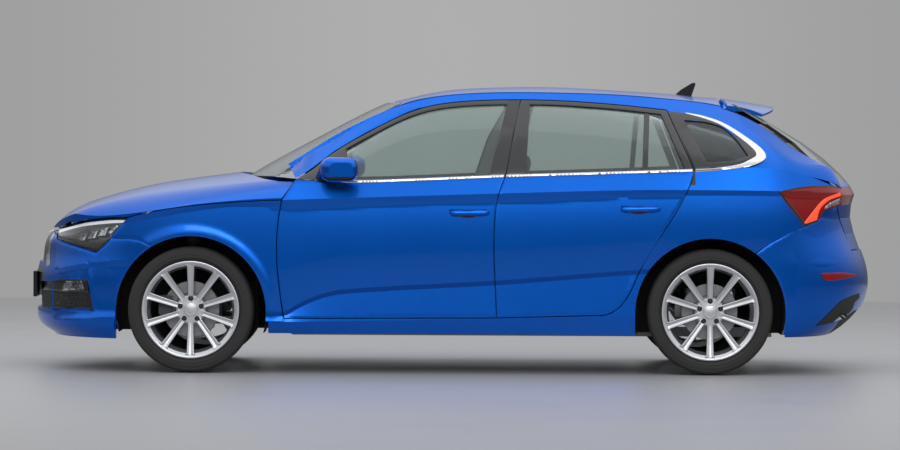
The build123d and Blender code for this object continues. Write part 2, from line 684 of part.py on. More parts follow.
# ---------------------------------------------------------------- hood, roof and screen
def hood_shell():
    with BuildPart() as shell:
        for x in steps(-2100, -790, 9):
            edge = (max(half(x, 12), 640), along(CHARACTER, x) - 4)
            crest = (min(edge[0] - 90, 600 + 0.1 * (x + 2100)), along(HOOD_CREST, x))
            brow = ((edge[0] + crest[0]) / 2 + 10, (edge[1] + crest[1]) / 2 + 10)
            top = along(HOOD_TOP, x)
            swell = (crest[0] / 2, crest[1] + (top - crest[1]) * 0.78)
            with BuildSketch(across(x)):
                with BuildLine():
                    Spline(edge, brow, crest)
                    Spline(crest, swell, (0, top))
                    Spline((0, top), (-swell[0], swell[1]), (-crest[0], crest[1]))
                    Spline((-crest[0], crest[1]), (-brow[0], brow[1]), (-edge[0], edge[1]))
                    Polyline((-edge[0], edge[1]), (-edge[0] + PANEL, edge[1]), (-crest[0] + PANEL, crest[1] - PANEL),
                             (0, top - PANEL), (crest[0] - PANEL, crest[1] - PANEL), (edge[0] - PANEL, edge[1]), edge)
                make_face()
        loft()
    return shell.part


with BuildPart() as hood_plan:
    with BuildSketch(Plane.XY):
        with BuildLine():
            front = Spline(*[(nose_x(y, -2094), y) for y in (-870, -800, -640, -400, 0, 400, 640, 800, 870)])
            Polyline(front @ 1, (-800, 870), (-800, 760))
            back = Spline((-800, 760), (-910, 716), (-1010, 520), (-1085, 260), (-1110, 0), (-1085, -260),
                          (-1010, -520), (-910, -716), (-800, -760))
            Polyline(back @ 1, (-800, -870), front @ 0)
        make_face()
    extrude(amount=1200)
shoulder = [(x, along(CHARACTER, x) + SHUT_GAP / 2 + 0.5) for x in SHOULDER]
hood_side = side_prism(loop((-2200, 711), (-2045, 728), (-1955, 753), (-1878, 774), (-1750, 790), *shoulder,
                            (-798, 989), (-880, 1100), (-2200, 1100)), 0, True)
hood = within(hood_shell(), hood_plan.part, hood_side)
finish(hood, "hood")

stop_bar = [block(-1990, 0, 720, 30, 806 - 2 * FIT, 22), block(-2012, 0, 481, 36, 620, 462, 8)]
stops = [cut_from(cylinder_z(-1990, y, 720, 760, 14), Pos(0, 0, -FIT) * hood) for y in (-330, 330)]
finish(joined(*stop_bar, *stops), "radiator_support")

with BuildPart() as roof:
    for x in steps(-300, 1384, 9):
        edge = (along(RAIL_HALF, x) - 6, along(RAIL_TOP, x) - 2)
        top = along(ROOF_TOP, x)
        with BuildSketch(across(x)):
            with BuildLine():
                ThreePointArc((-edge[0], edge[1]), (0, top), edge)
                Line(edge, (edge[0], edge[1] - 9))
                ThreePointArc((edge[0], edge[1] - 9), (0, top - PANEL), (-edge[0], edge[1] - 9))
                Line((-edge[0], edge[1] - 9), (-edge[0], edge[1]))
            make_face()
    loft()
roof_seat = Pos(-FIT, -2 * FIT, FIT) * side_top
with BuildPart() as both_seats:
    add(roof_seat)
    mirror(roof_seat, about=Plane.XZ)
roof_panel = cut_from(roof.part, both_seats.part)
finish(roof_panel, "roof")

with BuildPart() as windscreen:
    for z in (1002 + FIT, 1100, 1190, 1290, 1384):
        front = along(SCREEN, z)
        side = along([(-z0, x0) for x0, z0 in reversed(RAIL_TOP[:7])], -z)
        edge = along(RAIL_HALF, side) - 10
        with BuildSketch(Plane.XY.offset(z)):
            with BuildLine():
                ThreePointArc((side - 1, -edge), (front, 0), (side - 1, edge))
                Line((side - 1, edge), (side + 9.3, edge))
                ThreePointArc((side + 9.3, edge), (front + 10, 0), (side + 9.3, -edge))
                Line((side + 9.3, -edge), (side - 1, -edge))
            make_face()
    loft()
screen_pane = windscreen.part
for shift in ((-1, -1.5, 1), (0.6, 0.9, -0.6), (0, -0.5, 0)):
    pillar = Pos(*shift) * side_top
    with BuildPart() as pillars:
        add(pillar)
        mirror(pillar, about=Plane.XZ)
    screen_pane = cut_from(screen_pane, pillars.part)
finish(screen_pane, "windscreen")

# ---------------------------------------------------------------- floor, cabin and trim
FLOOR_Z = 222.0
FLOOR_WALL = 12.0
FLOOR_HALF = HALF - 52 - SIDE_WALL + 2 - 70 - FIT
LINER = ARCH_RADIUS + FIT
LINER_WALL = 6.0
INNER_HALF = 520.0            # half width between the rear wheel housings
ENGINE_HALF = 470.0           # half width between the front ones, clear of the turned wheels
TOWER_Z = 756.0
TOWER_RADIUS = 86.0
STRUT_Y = 628.0
floor_low = block(-50, 0, FLOOR_Z, 1700, 2 * FLOOR_HALF, FLOOR_WALL)
toe = block(-950, 0, FLOOR_Z, 112, 2 * INNER_HALF, FLOOR_WALL)
tunnel_gap = block(-50, 0, FLOOR_Z, 1920, 220, 40)
with BuildPart() as tunnel:
    with BuildSketch(Plane.YZ.offset(-1000)):
        with BuildLine():
            Polyline((-120, 216), (-95, 330), (95, 330), (120, 216), (108, 216), (86, 319), (-86, 319), (-108, 216),
                     (-120, 216))
        make_face()
    extrude(amount=1800)
heel = block(806, 0, 330, FLOOR_WALL, 2 * INNER_HALF, 228)
rear_floor = block(1400, 0, 438, 1200, 2 * INNER_HALF, FLOOR_WALL)
rear_panel = block(2000, 0, 531, FLOOR_WALL, 2 * INNER_HALF, 198)
bulkhead = block(-1000, 0, (216 + 990 - FIT) / 2, FLOOR_WALL, 2 * INNER_HALF, 990 - FIT - 216)
floor = joined(cut_from(joined(floor_low, toe), tunnel_gap), tunnel.part, heel, rear_floor, rear_panel, bulkhead)
finish(floor, "floor_pan")


def housing(x, inner_half, inset, stations):
    """Inner wheel arch: half a drum with an inboard wall, as wide as the outer panel lets it."""
    outer = cylinder_y(x, inner_half + FIT, 890, ARCH_Z, LINER + LINER_WALL)
    inner = cylinder_y(x, inner_half + FIT + LINER_WALL, 900, ARCH_Z, LINER)
    shaft_way = block(x, inner_half, 300, 420, 60, 300)
    return within(cut_from(outer, inner, shaft_way), inner_wall(stations, inset, 460))


front_housing = housing(FRONT_AXLE, ENGINE_HALF, BUMPER_WALL + 5, steps(-1750, -900, 6))
tower = cut_from(cylinder_z(FRONT_AXLE, STRUT_Y, 640, TOWER_Z + 8, TOWER_RADIUS + 6),
                 cylinder_z(FRONT_AXLE, STRUT_Y, 600, TOWER_Z, TOWER_RADIUS),
                 cylinder_y(FRONT_AXLE, ENGINE_HALF, 900, ARCH_Z, LINER))
tower_way = cylinder_z(FRONT_AXLE, STRUT_Y, 600, TOWER_Z, TOWER_RADIUS)
footwell = block(-950, 0, 400, 112 + 2 * FIT, 2 * (INNER_HALF + FIT), 800)
front_housing = joined(cut_from(front_housing, tower_way, footwell), tower)
rear_housing = housing(REAR_AXLE, INNER_HALF, SIDE_WALL + 2 * FIT, steps(900, 1800, 6))
both_sides("wheel_housings", joined(front_housing, rear_housing))


def seat_shell(x, y, width, lean, back_height):
    """Cushion, back and headrest of one seat, in side view and run across."""
    with BuildPart() as seat:
        with BuildSketch(Plane.XZ.offset(-(y - width / 2))):
            with BuildLine():
                Polyline((x - 260, 300), (x - 270, 420), (x - 230, 445), (x + 200, 400),
                         (x + 200 + lean, 400 + back_height), (x + 290 + lean, 400 + back_height), (x + 330, 420),
                         (x + 290, 300), (x - 260, 300))
            make_face()
        extrude(amount=-width)
    return seat.part


rails = [block(-100, y, (228 + FIT + 300) / 2 + 2, 380, 24, 300 - 228 - FIT + 4) for y in (-540, -200, 200, 540)]
front_seats = joined(seat_shell(-120, 370, 500, 230, 520), seat_shell(-120, -370, 500, 230, 520), *rails)
finish(front_seats, "front_seats")
with BuildPart() as rear_seat:
    with BuildSketch(Plane.XZ.offset(500)):
        with BuildLine():
            Polyline((500, 360), (490, 460), (520, 480), (930, 450), (1150, 960), (1250, 960), (1030, 444 + FIT),
                     (800 - FIT, 444 + FIT), (800 - FIT, 360), (500, 360))
        make_face()
    extrude(amount=-1000)
finish(rear_seat.part, "rear_seat")

with BuildPart() as dashboard:
    with BuildSketch(Plane.XZ.offset(600)):
        with BuildLine():
            Polyline((-994 + FIT, 620), (-994 + FIT, 930), (-700, 968), (-600, 940), (-560, 860), (-620, 640),
                     (-994 + FIT, 620))
        make_face()
    extrude(amount=-1200)
# steering wheel, in front of the left seat
COLUMN = Plane(origin=(-470, -370, 870), x_dir=(0, 1, 0), z_dir=(cos(radians(25)), 0, sin(radians(25))))
HUB = 24.0
with BuildPart() as column:
    with Locations((0, 0, -HUB / 2 - FIT)):
        Cylinder(30, 170, align=(Align.CENTER, Align.CENTER, Align.MAX))
finish(joined(dashboard.part, COLUMN * column.part), "dashboard")

with BuildPart() as cowl:
    with BuildSketch(Plane.XY.offset(990)):
        with BuildLine():
            front = ThreePointArc((-985, -560), (-1092, 0), (-985, 560))
            side = Line(front @ 1, (-950, 560))
            back = ThreePointArc(side @ 1, (-1050, 0), (-950, -560))
            Line(back @ 1, front @ 0)
        make_face()
    extrude(amount=12)
finish(cowl.part, "cowl_and_wipers")

with BuildPart() as fin:
    with BuildSketch(Plane.XZ.offset(6)):
        with BuildLine():
            Polyline((1180, 1426), (1180, 1440), (1205, 1462), (1262, 1497), (1280, 1500), (1282, 1490),
                     (1262, 1431), (1262, 1420), (1180, 1426))
        make_face()
    extrude(amount=-12)
finish(cut_from(fin.part, Pos(0, 0, FIT) * roof.part), "antenna")

# mirrors, on the front doors: a short foot that opens into the shell
with BuildPart() as mirror_head:
    for y, x, z, length, height in ((820, -655, 1004, 76, 32), (872, -640, 1010, 92, 40), (900, -588, 1036, 168, 104),
                                    (945, -572, 1041, 190, 124), (990, -566, 1040, 172, 112),
                                    (1014, -560, 1038, 120, 76)):
        with BuildSketch(Plane.XZ.offset(-y)):
            with Locations((x, z)):
                RectangleRounded(length, height, 0.4 * height)
    loft()
left_and_right("right_mirror", "left_mirror", cut_from(mirror_head.part, Pos(0, FIT, 0) * front_door,
                                                       block(-600, 760, 1000, 400, 160, 300)))


def wheel_node(stem, x, y):
    """Tyre and rim of one wheel, made about its own axle line."""
    side = 1 if y > 0 else -1
    axle = Plane(origin=(x, y, AXLE_Z), x_dir=(1, 0, 0), z_dir=(0, side, 0))
    with BuildPart() as tyre:
        with BuildSketch(Plane.XZ):
            with BuildLine():
                Polyline((RIM_RADIUS - 18, -86), (RIM_RADIUS + 1, -87), (RIM_RADIUS + 24, -106),
                         (TYRE_RADIUS - 22, -104))
                ThreePointArc((TYRE_RADIUS - 22, -104), (TYRE_RADIUS - 5, -96), (TYRE_RADIUS - 1, -78))
                ThreePointArc((TYRE_RADIUS - 1, -78), (TYRE_RADIUS, 0), (TYRE_RADIUS - 1, 78))
                ThreePointArc((TYRE_RADIUS - 1, 78), (TYRE_RADIUS - 5, 96), (TYRE_RADIUS - 22, 104))
                Polyline((TYRE_RADIUS - 22, 104), (RIM_RADIUS + 24, 106), (RIM_RADIUS + 1, 87), (RIM_RADIUS - 18, 86),
                         (RIM_RADIUS - 18, 74), (RIM_RADIUS + 16, 90), (TYRE_RADIUS - 24, 88), (TYRE_RADIUS - 14, 70),
                         (TYRE_RADIUS - 14, -70), (TYRE_RADIUS - 24, -88), (RIM_RADIUS + 16, -90),
                         (RIM_RADIUS - 18, -74), (RIM_RADIUS - 18, -86))
            make_face()
        revolve(axis=Axis.Z)
    finish(axle * tyre.part, f"{stem}_tyre")
    with BuildPart() as spoke:
        with BuildSketch(Plane.XZ):
            with BuildLine():
                face = Spline((20, 62), (70, 66), (140, 76), (RIM_RADIUS - 22, 92))
                Polyline(face @ 1, (RIM_RADIUS - 22, 68), (140, 56), (70, 44), (20, 40), face @ 0)
            make_face()
        extrude(amount=40, both=True)
        with BuildSketch(Plane.XY):
            with BuildLine():
                edge = Spline((20, 15), (80, 13), (150, 10.5), (RIM_RADIUS - 40, 15), (RIM_RADIUS - 22, 26))
                Line(edge @ 1, (RIM_RADIUS - 22, -26))
                mirror(edge, about=Plane.XZ)
                Line((20, 15), (20, -15))
            make_face()
        extrude(amount=120, mode=Mode.INTERSECT)
    with BuildPart() as rim:
        with BuildSketch(Plane.XZ):
            with BuildLine():
                Polyline((RIM_RADIUS, RIM_HALF), (RIM_RADIUS, 87.5), (RIM_RADIUS - 18.3, 86.5),
                         (RIM_RADIUS - 18.3, 60), (RIM_RADIUS - 32, 40), (RIM_RADIUS - 32, -60),
                         (RIM_RADIUS - 18.3, -72), (RIM_RADIUS - 18.3, -86.5), (RIM_RADIUS, -87.5),
                         (RIM_RADIUS, -RIM_HALF), (RIM_RADIUS - 24, -RIM_HALF), (RIM_RADIUS - 24, -74),
                         (RIM_RADIUS - 37, -62), (RIM_RADIUS - 37, 42), (RIM_RADIUS - 25, 62),
                         (RIM_RADIUS - 25, 86), (RIM_RADIUS - 12, RIM_HALF), (RIM_RADIUS, RIM_HALF))
            make_face()
        revolve(axis=Axis.Z)
        with BuildSketch(Plane.XY.offset(42)):
            Circle(72)
        extrude(amount=28)
        with PolarLocations(0, SPOKES):
            add(spoke.part)
        with BuildSketch(Plane.XY.offset(-18)):
            Circle(DISC_RADIUS)
        extrude(amount=24)
        with BuildSketch(Plane.XY.offset(-18)):
            Circle(HUB_RADIUS * 2)
        extrude(amount=62)
        with BuildSketch(Plane.XY.offset(-18)):
            Circle(HUB_RADIUS)
        extrude(amount=54, mode=Mode.SUBTRACT)
    finish(axle * rim.part, f"{stem}_rim")


for stem, x, y in (("front_left", FRONT_AXLE, -FRONT_TRACK / 2), ("front_right", FRONT_AXLE, FRONT_TRACK / 2),
                   ("rear_left", REAR_AXLE, -REAR_TRACK / 2), ("rear_right", REAR_AXLE, REAR_TRACK / 2)):
    wheel_node(stem, x, y)

# ---------------------------------------------------------------- running gear
STUB = HUB_RADIUS - FIT
FRONT_HUB = FRONT_TRACK / 2
REAR_HUB = REAR_TRACK / 2
caliper = cut_from(block(FRONT_AXLE - 130, FRONT_HUB - 4, AXLE_Z + 20, 70, 76, 100, 12),
                   block(FRONT_AXLE - 110, FRONT_HUB - 6, AXLE_Z, 90, 36, 140))
strut = joined(cylinder_z(FRONT_AXLE, STRUT_Y, 380, 745, 22), cylinder_z(FRONT_AXLE, STRUT_Y, 656, 742, 42),
               cylinder_z(FRONT_AXLE, STRUT_Y, 738, TOWER_Z - FIT, 34))
knuckle = joined(cylinder_y(FRONT_AXLE, 640, FRONT_HUB + 34, AXLE_Z, STUB),
                 block(FRONT_AXLE, 655, AXLE_Z, 70, 30, 260, 12),
                 block(FRONT_AXLE - 82, 683, AXLE_Z + 20, 165, 22, 80), block(FRONT_AXLE - 130, 710, AXLE_Z + 20, 60, 60, 80),
                 caliper, strut)
left_and_right("right_knuckle", "left_knuckle", knuckle)

CRADLE_Z = 250.0
engine = block(-1390, 60, 560, 520, 800, 440, 30)
finish(engine, "engine")
lower_arm = block(FRONT_AXLE, 520, 180, 90, 370, 24 - 2 * FIT)
cradle = [block(-1300, 0, CRADLE_Z, 360, 700, 40), block(-1300, 0, 285, 60, 900, 40),
          block(-1460, 60, (CRADLE_Z + 340 - FIT) / 2, 60, 500, 340 - FIT - CRADLE_Z),
          block(-1230, 60, (CRADLE_Z + 340 - FIT) / 2, 60, 500, 340 - FIT - CRADLE_Z)]
for side in (-1, 1):
    cradle.append(block((-1300 - 1006 - FIT) / 2, side * 300, CRADLE_Z, 294 - FIT, 60, 30))
    cradle.append(block(FRONT_AXLE, side * 515, 180, 90, 380, 24 - 2 * FIT))
    cradle.append(block(FRONT_AXLE, side * 340, 215, 90, 30, 70))
finish(joined(*cradle), "front_subframe")
beam = [cylinder_y(1190, -590, 590, 330, 40)]
for side in (-1, 1):
    beam.append(block((1150 + REAR_AXLE + 40) / 2, side * 600, AXLE_Z, REAR_AXLE - 1110, 50, 60, 8))
    beam.append(cylinder_z(1230, side * 460, 330, 432 - FIT, 48))
    beam.append(cylinder_y(REAR_AXLE, 590, REAR_HUB + 34, AXLE_Z, STUB) if side > 0 else
                cylinder_y(REAR_AXLE, -REAR_HUB - 34, -590, AXLE_Z, STUB))
finish(joined(*beam), "rear_axle")
exhaust = joined(block(400, 0, 186, 2500, 50, 50, 20), block(1750, 190, 262, 200, 600, 130, 40),
                 block(1660, 0, 200, 60, 50, 78), block(300, 0, 212, 30, 16, 2 * (216 - FIT - 212)),
                 block(1000, 0, 320, 16, 16, 2 * (432 - FIT - 320)), block(1750, 460, 370, 16, 16, 2 * (432 - FIT - 370)))
finish(exhaust, "exhaust")

with BuildPart() as wheel_rim:
    Torus(175, 15)
    Cylinder(60, HUB)
    for angle in (0, 180, 270):
        with Locations(Location((0, 0, 0), (0, 0, angle))):
            with Locations((110, 0, 0)):
                Box(130, 30, 14)
finish(COLUMN * wheel_rim.part, "steering_wheel")
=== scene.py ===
# %% [markdown]
# A compact five-door hatchback, seen from its left side.
# The frame made in CAD gives every piece its place. This file gives the pieces their looks:
# first the tools for shader maths and for surfaces, then one step for each finish, and then the pieces.

# %% Load the frame
import json
from math import atan, cos, pi, radians, sin

import bmesh
import bpy
import numpy as np
from mathutils import Matrix, Vector
from mathutils.bvhtree import BVHTree
from mathutils.geometry import delaunay_2d_cdt


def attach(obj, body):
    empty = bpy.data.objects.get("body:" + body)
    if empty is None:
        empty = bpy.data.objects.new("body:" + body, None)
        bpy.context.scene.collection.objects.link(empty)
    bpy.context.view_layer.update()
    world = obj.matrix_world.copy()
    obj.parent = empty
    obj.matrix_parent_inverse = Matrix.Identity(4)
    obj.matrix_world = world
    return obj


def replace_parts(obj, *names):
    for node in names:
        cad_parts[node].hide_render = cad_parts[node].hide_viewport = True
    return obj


SIDES = (("left", -1), ("right", 1))
MM = 1000                     # millimetres in a metre

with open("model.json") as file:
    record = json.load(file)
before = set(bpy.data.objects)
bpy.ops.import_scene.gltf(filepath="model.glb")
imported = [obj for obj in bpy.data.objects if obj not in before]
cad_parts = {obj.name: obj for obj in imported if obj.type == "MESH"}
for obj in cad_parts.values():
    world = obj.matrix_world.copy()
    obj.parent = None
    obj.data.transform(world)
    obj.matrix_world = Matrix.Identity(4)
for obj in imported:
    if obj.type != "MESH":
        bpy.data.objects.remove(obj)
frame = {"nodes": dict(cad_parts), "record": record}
nodes, record = frame["nodes"], frame["record"]
slots = {part["node"]: part["material_slot"] for part in record["subparts"]}
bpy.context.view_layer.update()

# %% [markdown]
# Shader maths reads best as Python: a wrapped socket takes part in sums and products, and each
# operation adds one Math node. All other nodes come from one method that takes a type, its settings
# and its inputs.

# %% A socket that takes part in arithmetic
class Value:
    """An output socket. An operation on it adds a Math node to its tree."""

    def __init__(self, shader, socket):
        self.shader, self.socket = shader, socket

    def maths(self, operation, first, second=None):
        """One Math node on one or two numbers or sockets."""
        sockets = {0: first} if second is None else {0: first, 1: second}
        return self.shader.node("ShaderNodeMath", {"operation": operation}, sockets)


def maths_of(operation, turned=False):
    """A Python operator that adds a Math node, with its two sides turned round if asked."""
    if operation == "ABSOLUTE":
        return lambda self: self.maths(operation, self)
    if turned:
        return lambda self, other: self.maths(operation, other, self)
    return lambda self, other: self.maths(operation, self, other)


for sign, operation in (("add", "ADD"), ("sub", "SUBTRACT"), ("mul", "MULTIPLY"), ("pow", "POWER"),
                        ("lt", "LESS_THAN"), ("gt", "GREATER_THAN"), ("abs", "ABSOLUTE")):
    setattr(Value, f"__{sign}__", maths_of(operation))
for sign, operation in (("radd", "ADD"), ("rsub", "SUBTRACT"), ("rmul", "MULTIPLY")):
    setattr(Value, f"__{sign}__", maths_of(operation, True))


class Shader:
    """A node tree with one way of adding a node."""

    def __init__(self, tree):
        self.tree = tree

    def node(self, kind, settings=None, sockets=None, output=0):
        """Adds a node, sets its properties first and then its sockets, and gives one output."""
        made = self.tree.nodes.new(kind)
        for name, value in (settings or {}).items():
            setattr(made, name, value)
        for name, value in (sockets or {}).items():
            self.feed(made.inputs[name], value)
        return Value(self, made.outputs[output])

    def feed(self, socket, value):
        """Links a wrapped socket, or sets a plain value."""
        if isinstance(value, Value):
            self.tree.links.new(value.socket, socket)
        else:
            socket.default_value = value

    def between(self, value, low, high, start=0.0, end=1.0):
        """`value` from low to high gives start to end, with a soft turn at both."""
        return self.node("ShaderNodeMapRange", {"interpolation_type": "SMOOTHSTEP"},
                         {0: value, 1: low, 2: high, 3: start, 4: end})


# %% A material with its usual patterns
class Material(Shader):
    """A Principled surface on Object coordinates, in metres."""

    def __init__(self, name, slot, **constants):
        self.slot = slot
        self.made = bpy.data.materials.new(name)
        self.made.use_nodes = True
        super().__init__(self.made.node_tree)
        self.surface = self.tree.nodes["Principled BSDF"]
        self.place = self.node("ShaderNodeTexCoord", output="Object")
        for label, value in constants.items():
            self.surface.inputs[label.replace("_", " ").title().replace("Ior", "IOR")].default_value = value

    def noise(self, scale, detail=2.0, stretch=None):
        """Smooth noise, `scale` cells to a metre."""
        where = self.place
        if stretch:
            where = self.node("ShaderNodeMapping", sockets={"Vector": where, "Scale": stretch})
        return self.node("ShaderNodeTexNoise", sockets={"Vector": where, "Scale": scale, "Detail": detail})

    def cells(self, scale, feature="F1", output="Distance"):
        """Voronoi cells, `scale` to a metre."""
        return self.node("ShaderNodeTexVoronoi", {"feature": feature}, {"Vector": self.place, "Scale": scale},
                         output)

    def parts(self, vector=None):
        """The x, y and z of a place or a direction."""
        split = self.node("ShaderNodeSeparateXYZ", sockets={"Vector": vector or self.place})
        return [Value(self, out) for out in split.socket.node.outputs]

    def mix(self, share, first, second):
        """From the first colour to the second as `share` goes from 0 to 1."""
        return self.node("ShaderNodeMix", {"data_type": "RGBA"}, {0: share, 6: first, 7: second}, 2)

    def colour(self, share, first, second, label="Base Color"):
        """A colour that goes from one screen colour to another as `share` goes from 0 to 1."""
        self.set(label, self.mix(share, rgb(*first), rgb(*second)))

    def bump(self, height, distance):
        """Feeds a height pattern, `distance` metres deep, to the normal."""
        made = self.node("ShaderNodeBump", sockets={"Height": height, "Distance": distance, "Strength": 1.0})
        self.feed(self.surface.inputs["Normal"], made)

    def set(self, label, value):
        """Links what changes over the surface."""
        self.feed(self.surface.inputs[label], value)


def rgb(red, green, blue):
    """A screen colour from 0 to 255 as a scene colour."""
    share = np.array([red, green, blue]) / 255
    line = np.where(share < 0.04045, share / 12.92, ((share + 0.055) / 1.055) ** 2.4)
    return (*[float(x) for x in line], 1.0)


DEEP_BLUE, LIGHT_BLUE, LACQUER = rgb(0, 88, 196), rgb(0, 104, 214), rgb(18, 19, 21)
print("body blue goes from", [round(x, 3) for x in DEEP_BLUE[:3]], "to", [round(x, 3) for x in LIGHT_BLUE[:3]])

# %% [markdown]
# The finishes come next. Car paint is three layers: a blue ground with fine metal flakes in it, and a
# clear glossy coat over it that is slightly uneven, like orange peel. Flakes are small cells, each a
# little lighter or darker and tilted its own way, which a bump on the cell colour gives.

# %% Paint
def body_paint(name, black=None):
    """Blue paint, with black lacquer where `black` of x, y and z in metres is 1."""
    coat = Material(name, "blue_paint", coat_ior=1.35, coat_roughness=0.03, ior=1.5)
    mask = black(*coat.parts()) if black else coat.parts()[2] * 0.0
    flake = coat.parts(coat.cells(900.0, output="Color"))[0]
    cloud = coat.noise(3.0)
    blue = coat.mix(flake * 0.6 + cloud * 0.4, DEEP_BLUE, LIGHT_BLUE)
    coat.set("Base Color", coat.mix(mask, blue, LACQUER))
    coat.set("Metallic", 0.94 * (1 - mask))
    coat.set("Roughness", 0.27 + 0.08 * flake - 0.10 * mask)
    coat.set("Coat Weight", 0.55 + 0.25 * mask)
    coat.bump(flake * 0.4 + coat.noise(260.0) * 0.6, 0.00002)
    return coat


paint = body_paint("blue_paint")
door_paint = body_paint("door_paint", lambda x, y, z: z > 0.0360 * x + 0.9945)
gate_paint = body_paint("tailgate_paint", lambda x, y, z: z > 0.985)
mirror_paint = body_paint("mirror_paint", lambda x, y, z: z < 1.004)
nose_paint = body_paint("nose_paint", lambda x, y, z: (x < -2.118) * (z < 0.52) * (z > 0.34))
frame_paint = body_paint("side_frame_paint", lambda x, y, z: (x > -0.1) * (x < 1.24) * (z > 0.97) * (z < 1.335))
own_paint = {"tailgate": gate_paint, "front_bumper": nose_paint, "left_side_frame": frame_paint,
             "right_side_frame": frame_paint}
for end in ("front", "rear"):
    for name in ("left", "right"):
        own_paint[f"{end}_{name}_door"] = door_paint
        own_paint[f"{name}_mirror"] = mirror_paint

# %% [markdown]
# Black parts come in two kinds. Window frames, the middle pillar and the grille are smooth gloss
# plastic, where only fine scratches break the shine. Wheel arch edges and the lower bumper are moulded
# with a leather-like grain, which cell borders and a finer noise give.

# %% Gloss black
gloss = Material("gloss_black", "black_trim", ior=1.5, coat_weight=0.6, coat_roughness=0.05)
scratch = gloss.noise(60.0, 4.0, stretch=(1.0, 12.0, 6.0))
gloss.colour(scratch, (16, 17, 19), (26, 27, 30))
gloss.set("Roughness", 0.16 + 0.14 * scratch)

# %% Grained plastic
grained = Material("grained_black", "grained_plastic", ior=1.48)
grain = grained.cells(700.0, "DISTANCE_TO_EDGE")
fine = grained.noise(1800.0, 2.0)
fade = grained.noise(5.0)
grained.colour(fade, (30, 31, 33), (44, 45, 47))
grained.set("Roughness", 0.55 + 0.2 * fade)
grained.bump(grained.between(grain, 0.0, 0.12) * 0.8 + fine * 0.2, 0.0002)

# %% Underbody, with a way to make finishes of one noise
def cloudy(name, slot, pattern, colours, rough, depth, **constants):
    """A finish with one noise, of a scale and a detail, in its colour, its roughness (start and rise) and
    its relief, `depth` metres deep."""
    made = Material(name, slot, **constants)
    cloud = made.noise(*pattern)
    made.colour(cloud, *colours)
    made.set("Roughness", rough[0] + rough[1] * cloud)
    if depth:
        made.bump(cloud, depth)
    return made


under = cloudy("underbody_coat", "underbody", (90.0, 5.0), ((18, 18, 19), (38, 37, 36)), (0.75, 0.2), 0.0006,
               ior=1.45)

# %% [markdown]
# Window glass only needs what the eye sees: most light goes straight through with a slight green
# tint, and the rest is a sharp reflection that grows at low angles. A Fresnel node mixes a clear and a
# glossy shader, so light also falls on the seats behind it.

# %% Glass
def glass(name, slot, tint, film):
    """Clear glass of one tint, with a soft film of dust that shows as a faint veil."""
    pane = Material(name, slot)
    clear = pane.node("ShaderNodeBsdfTransparent", sockets={"Color": tint})
    shine = pane.node("ShaderNodeBsdfGlossy", sockets={"Color": (0.95, 0.97, 1.0, 1.0), "Roughness": 0.0})
    fresnel = pane.node("ShaderNodeFresnel", sockets={"IOR": 1.45})
    body = pane.node("ShaderNodeMixShader", sockets={0: fresnel, 1: clear, 2: shine})
    veil = pane.node("ShaderNodeBsdfDiffuse", sockets={"Color": (0.62, 0.66, 0.66, 1.0)})
    haze = film * (0.7 + 0.6 * pane.noise(4.0))
    both = pane.node("ShaderNodeMixShader", sockets={0: haze, 1: body, 2: veil})
    pane.tree.links.new(both.socket, pane.tree.nodes["Material Output"].inputs["Surface"])
    pane.tree.nodes.remove(pane.surface)
    return pane


clear_glass = glass("window_glass", "tinted_glass", (0.80, 0.86, 0.84, 1.0), 0.05)
dark_glass = glass("dark_window_glass", "dark_glass", (0.40, 0.43, 0.43, 1.0), 0.03)
lens_glass = glass("lamp_lens", "lamp_glass", (0.96, 0.97, 0.98, 1.0), 0.02)

# %% [markdown]
# Lamp lenses at the back are coloured plastic with fine upright flutes inside, which catch the light
# in thin lines. Tyres are dull rubber, brownish black, with fine rings on the side wall. The rims are
# silver lacquer on cast metal, so they are a metal under a clear coat, with the faintest grain.

# %% Red lens, rubber and silver
red = Material("red_lens", "red_lens", ior=1.4, coat_weight=0.4, coat_roughness=0.02)
flute = red.node("ShaderNodeTexWave", {"bands_direction": "X"}, {"Vector": red.place, "Scale": 60.0})
red.colour(flute * 0.35, (120, 0, 4), (196, 8, 8))
red.set("Roughness", 0.22 + 0.1 * flute)
red.bump(flute, 0.0002)

rubber = Material("tyre_rubber", "tyre_rubber", ior=1.5)
wear = rubber.noise(14.0, 4.0)
rubber.colour(wear, (30, 30, 30), (50, 49, 48))
rubber.set("Roughness", 0.62 + 0.25 * wear)
rubber.bump(rubber.noise(900.0), 0.00015)

silver = Material("wheel_silver", "wheel_silver", metallic=0.85, coat_weight=0.5, coat_roughness=0.08)
grit = silver.noise(1500.0)
cast = silver.noise(8.0)
silver.colour(cast, (196, 198, 202), (218, 219, 222))
silver.set("Roughness", 0.32 + 0.10 * grit)
silver.bump(grit, 0.00003)

# %% Bare steel and castings
steel = cloudy("bare_steel", "steel", (400.0, 3.0), ((128, 128, 130), (168, 168, 170)),
               (0.3, 0.2), 0.00005, metallic=1.0)
casting = cloudy("rough_casting", "cast_metal", (350.0, 5.0), ((64, 64, 66), (98, 98, 100)),
                 (0.5, 0.3), 0.0003, metallic=0.6)
chrome = cloudy("bright_trim", "wheel_silver", (120.0, 3.0), ((205, 207, 210), (228, 229, 231)),
                (0.14, 0.08), 0, metallic=1.0)

# %% [markdown]
# Seats are woven cloth. Two sets of fine waves at right angles make the threads: where one is high
# the other dips. Soft trim on the dashboard is a close grain with a dull shine.

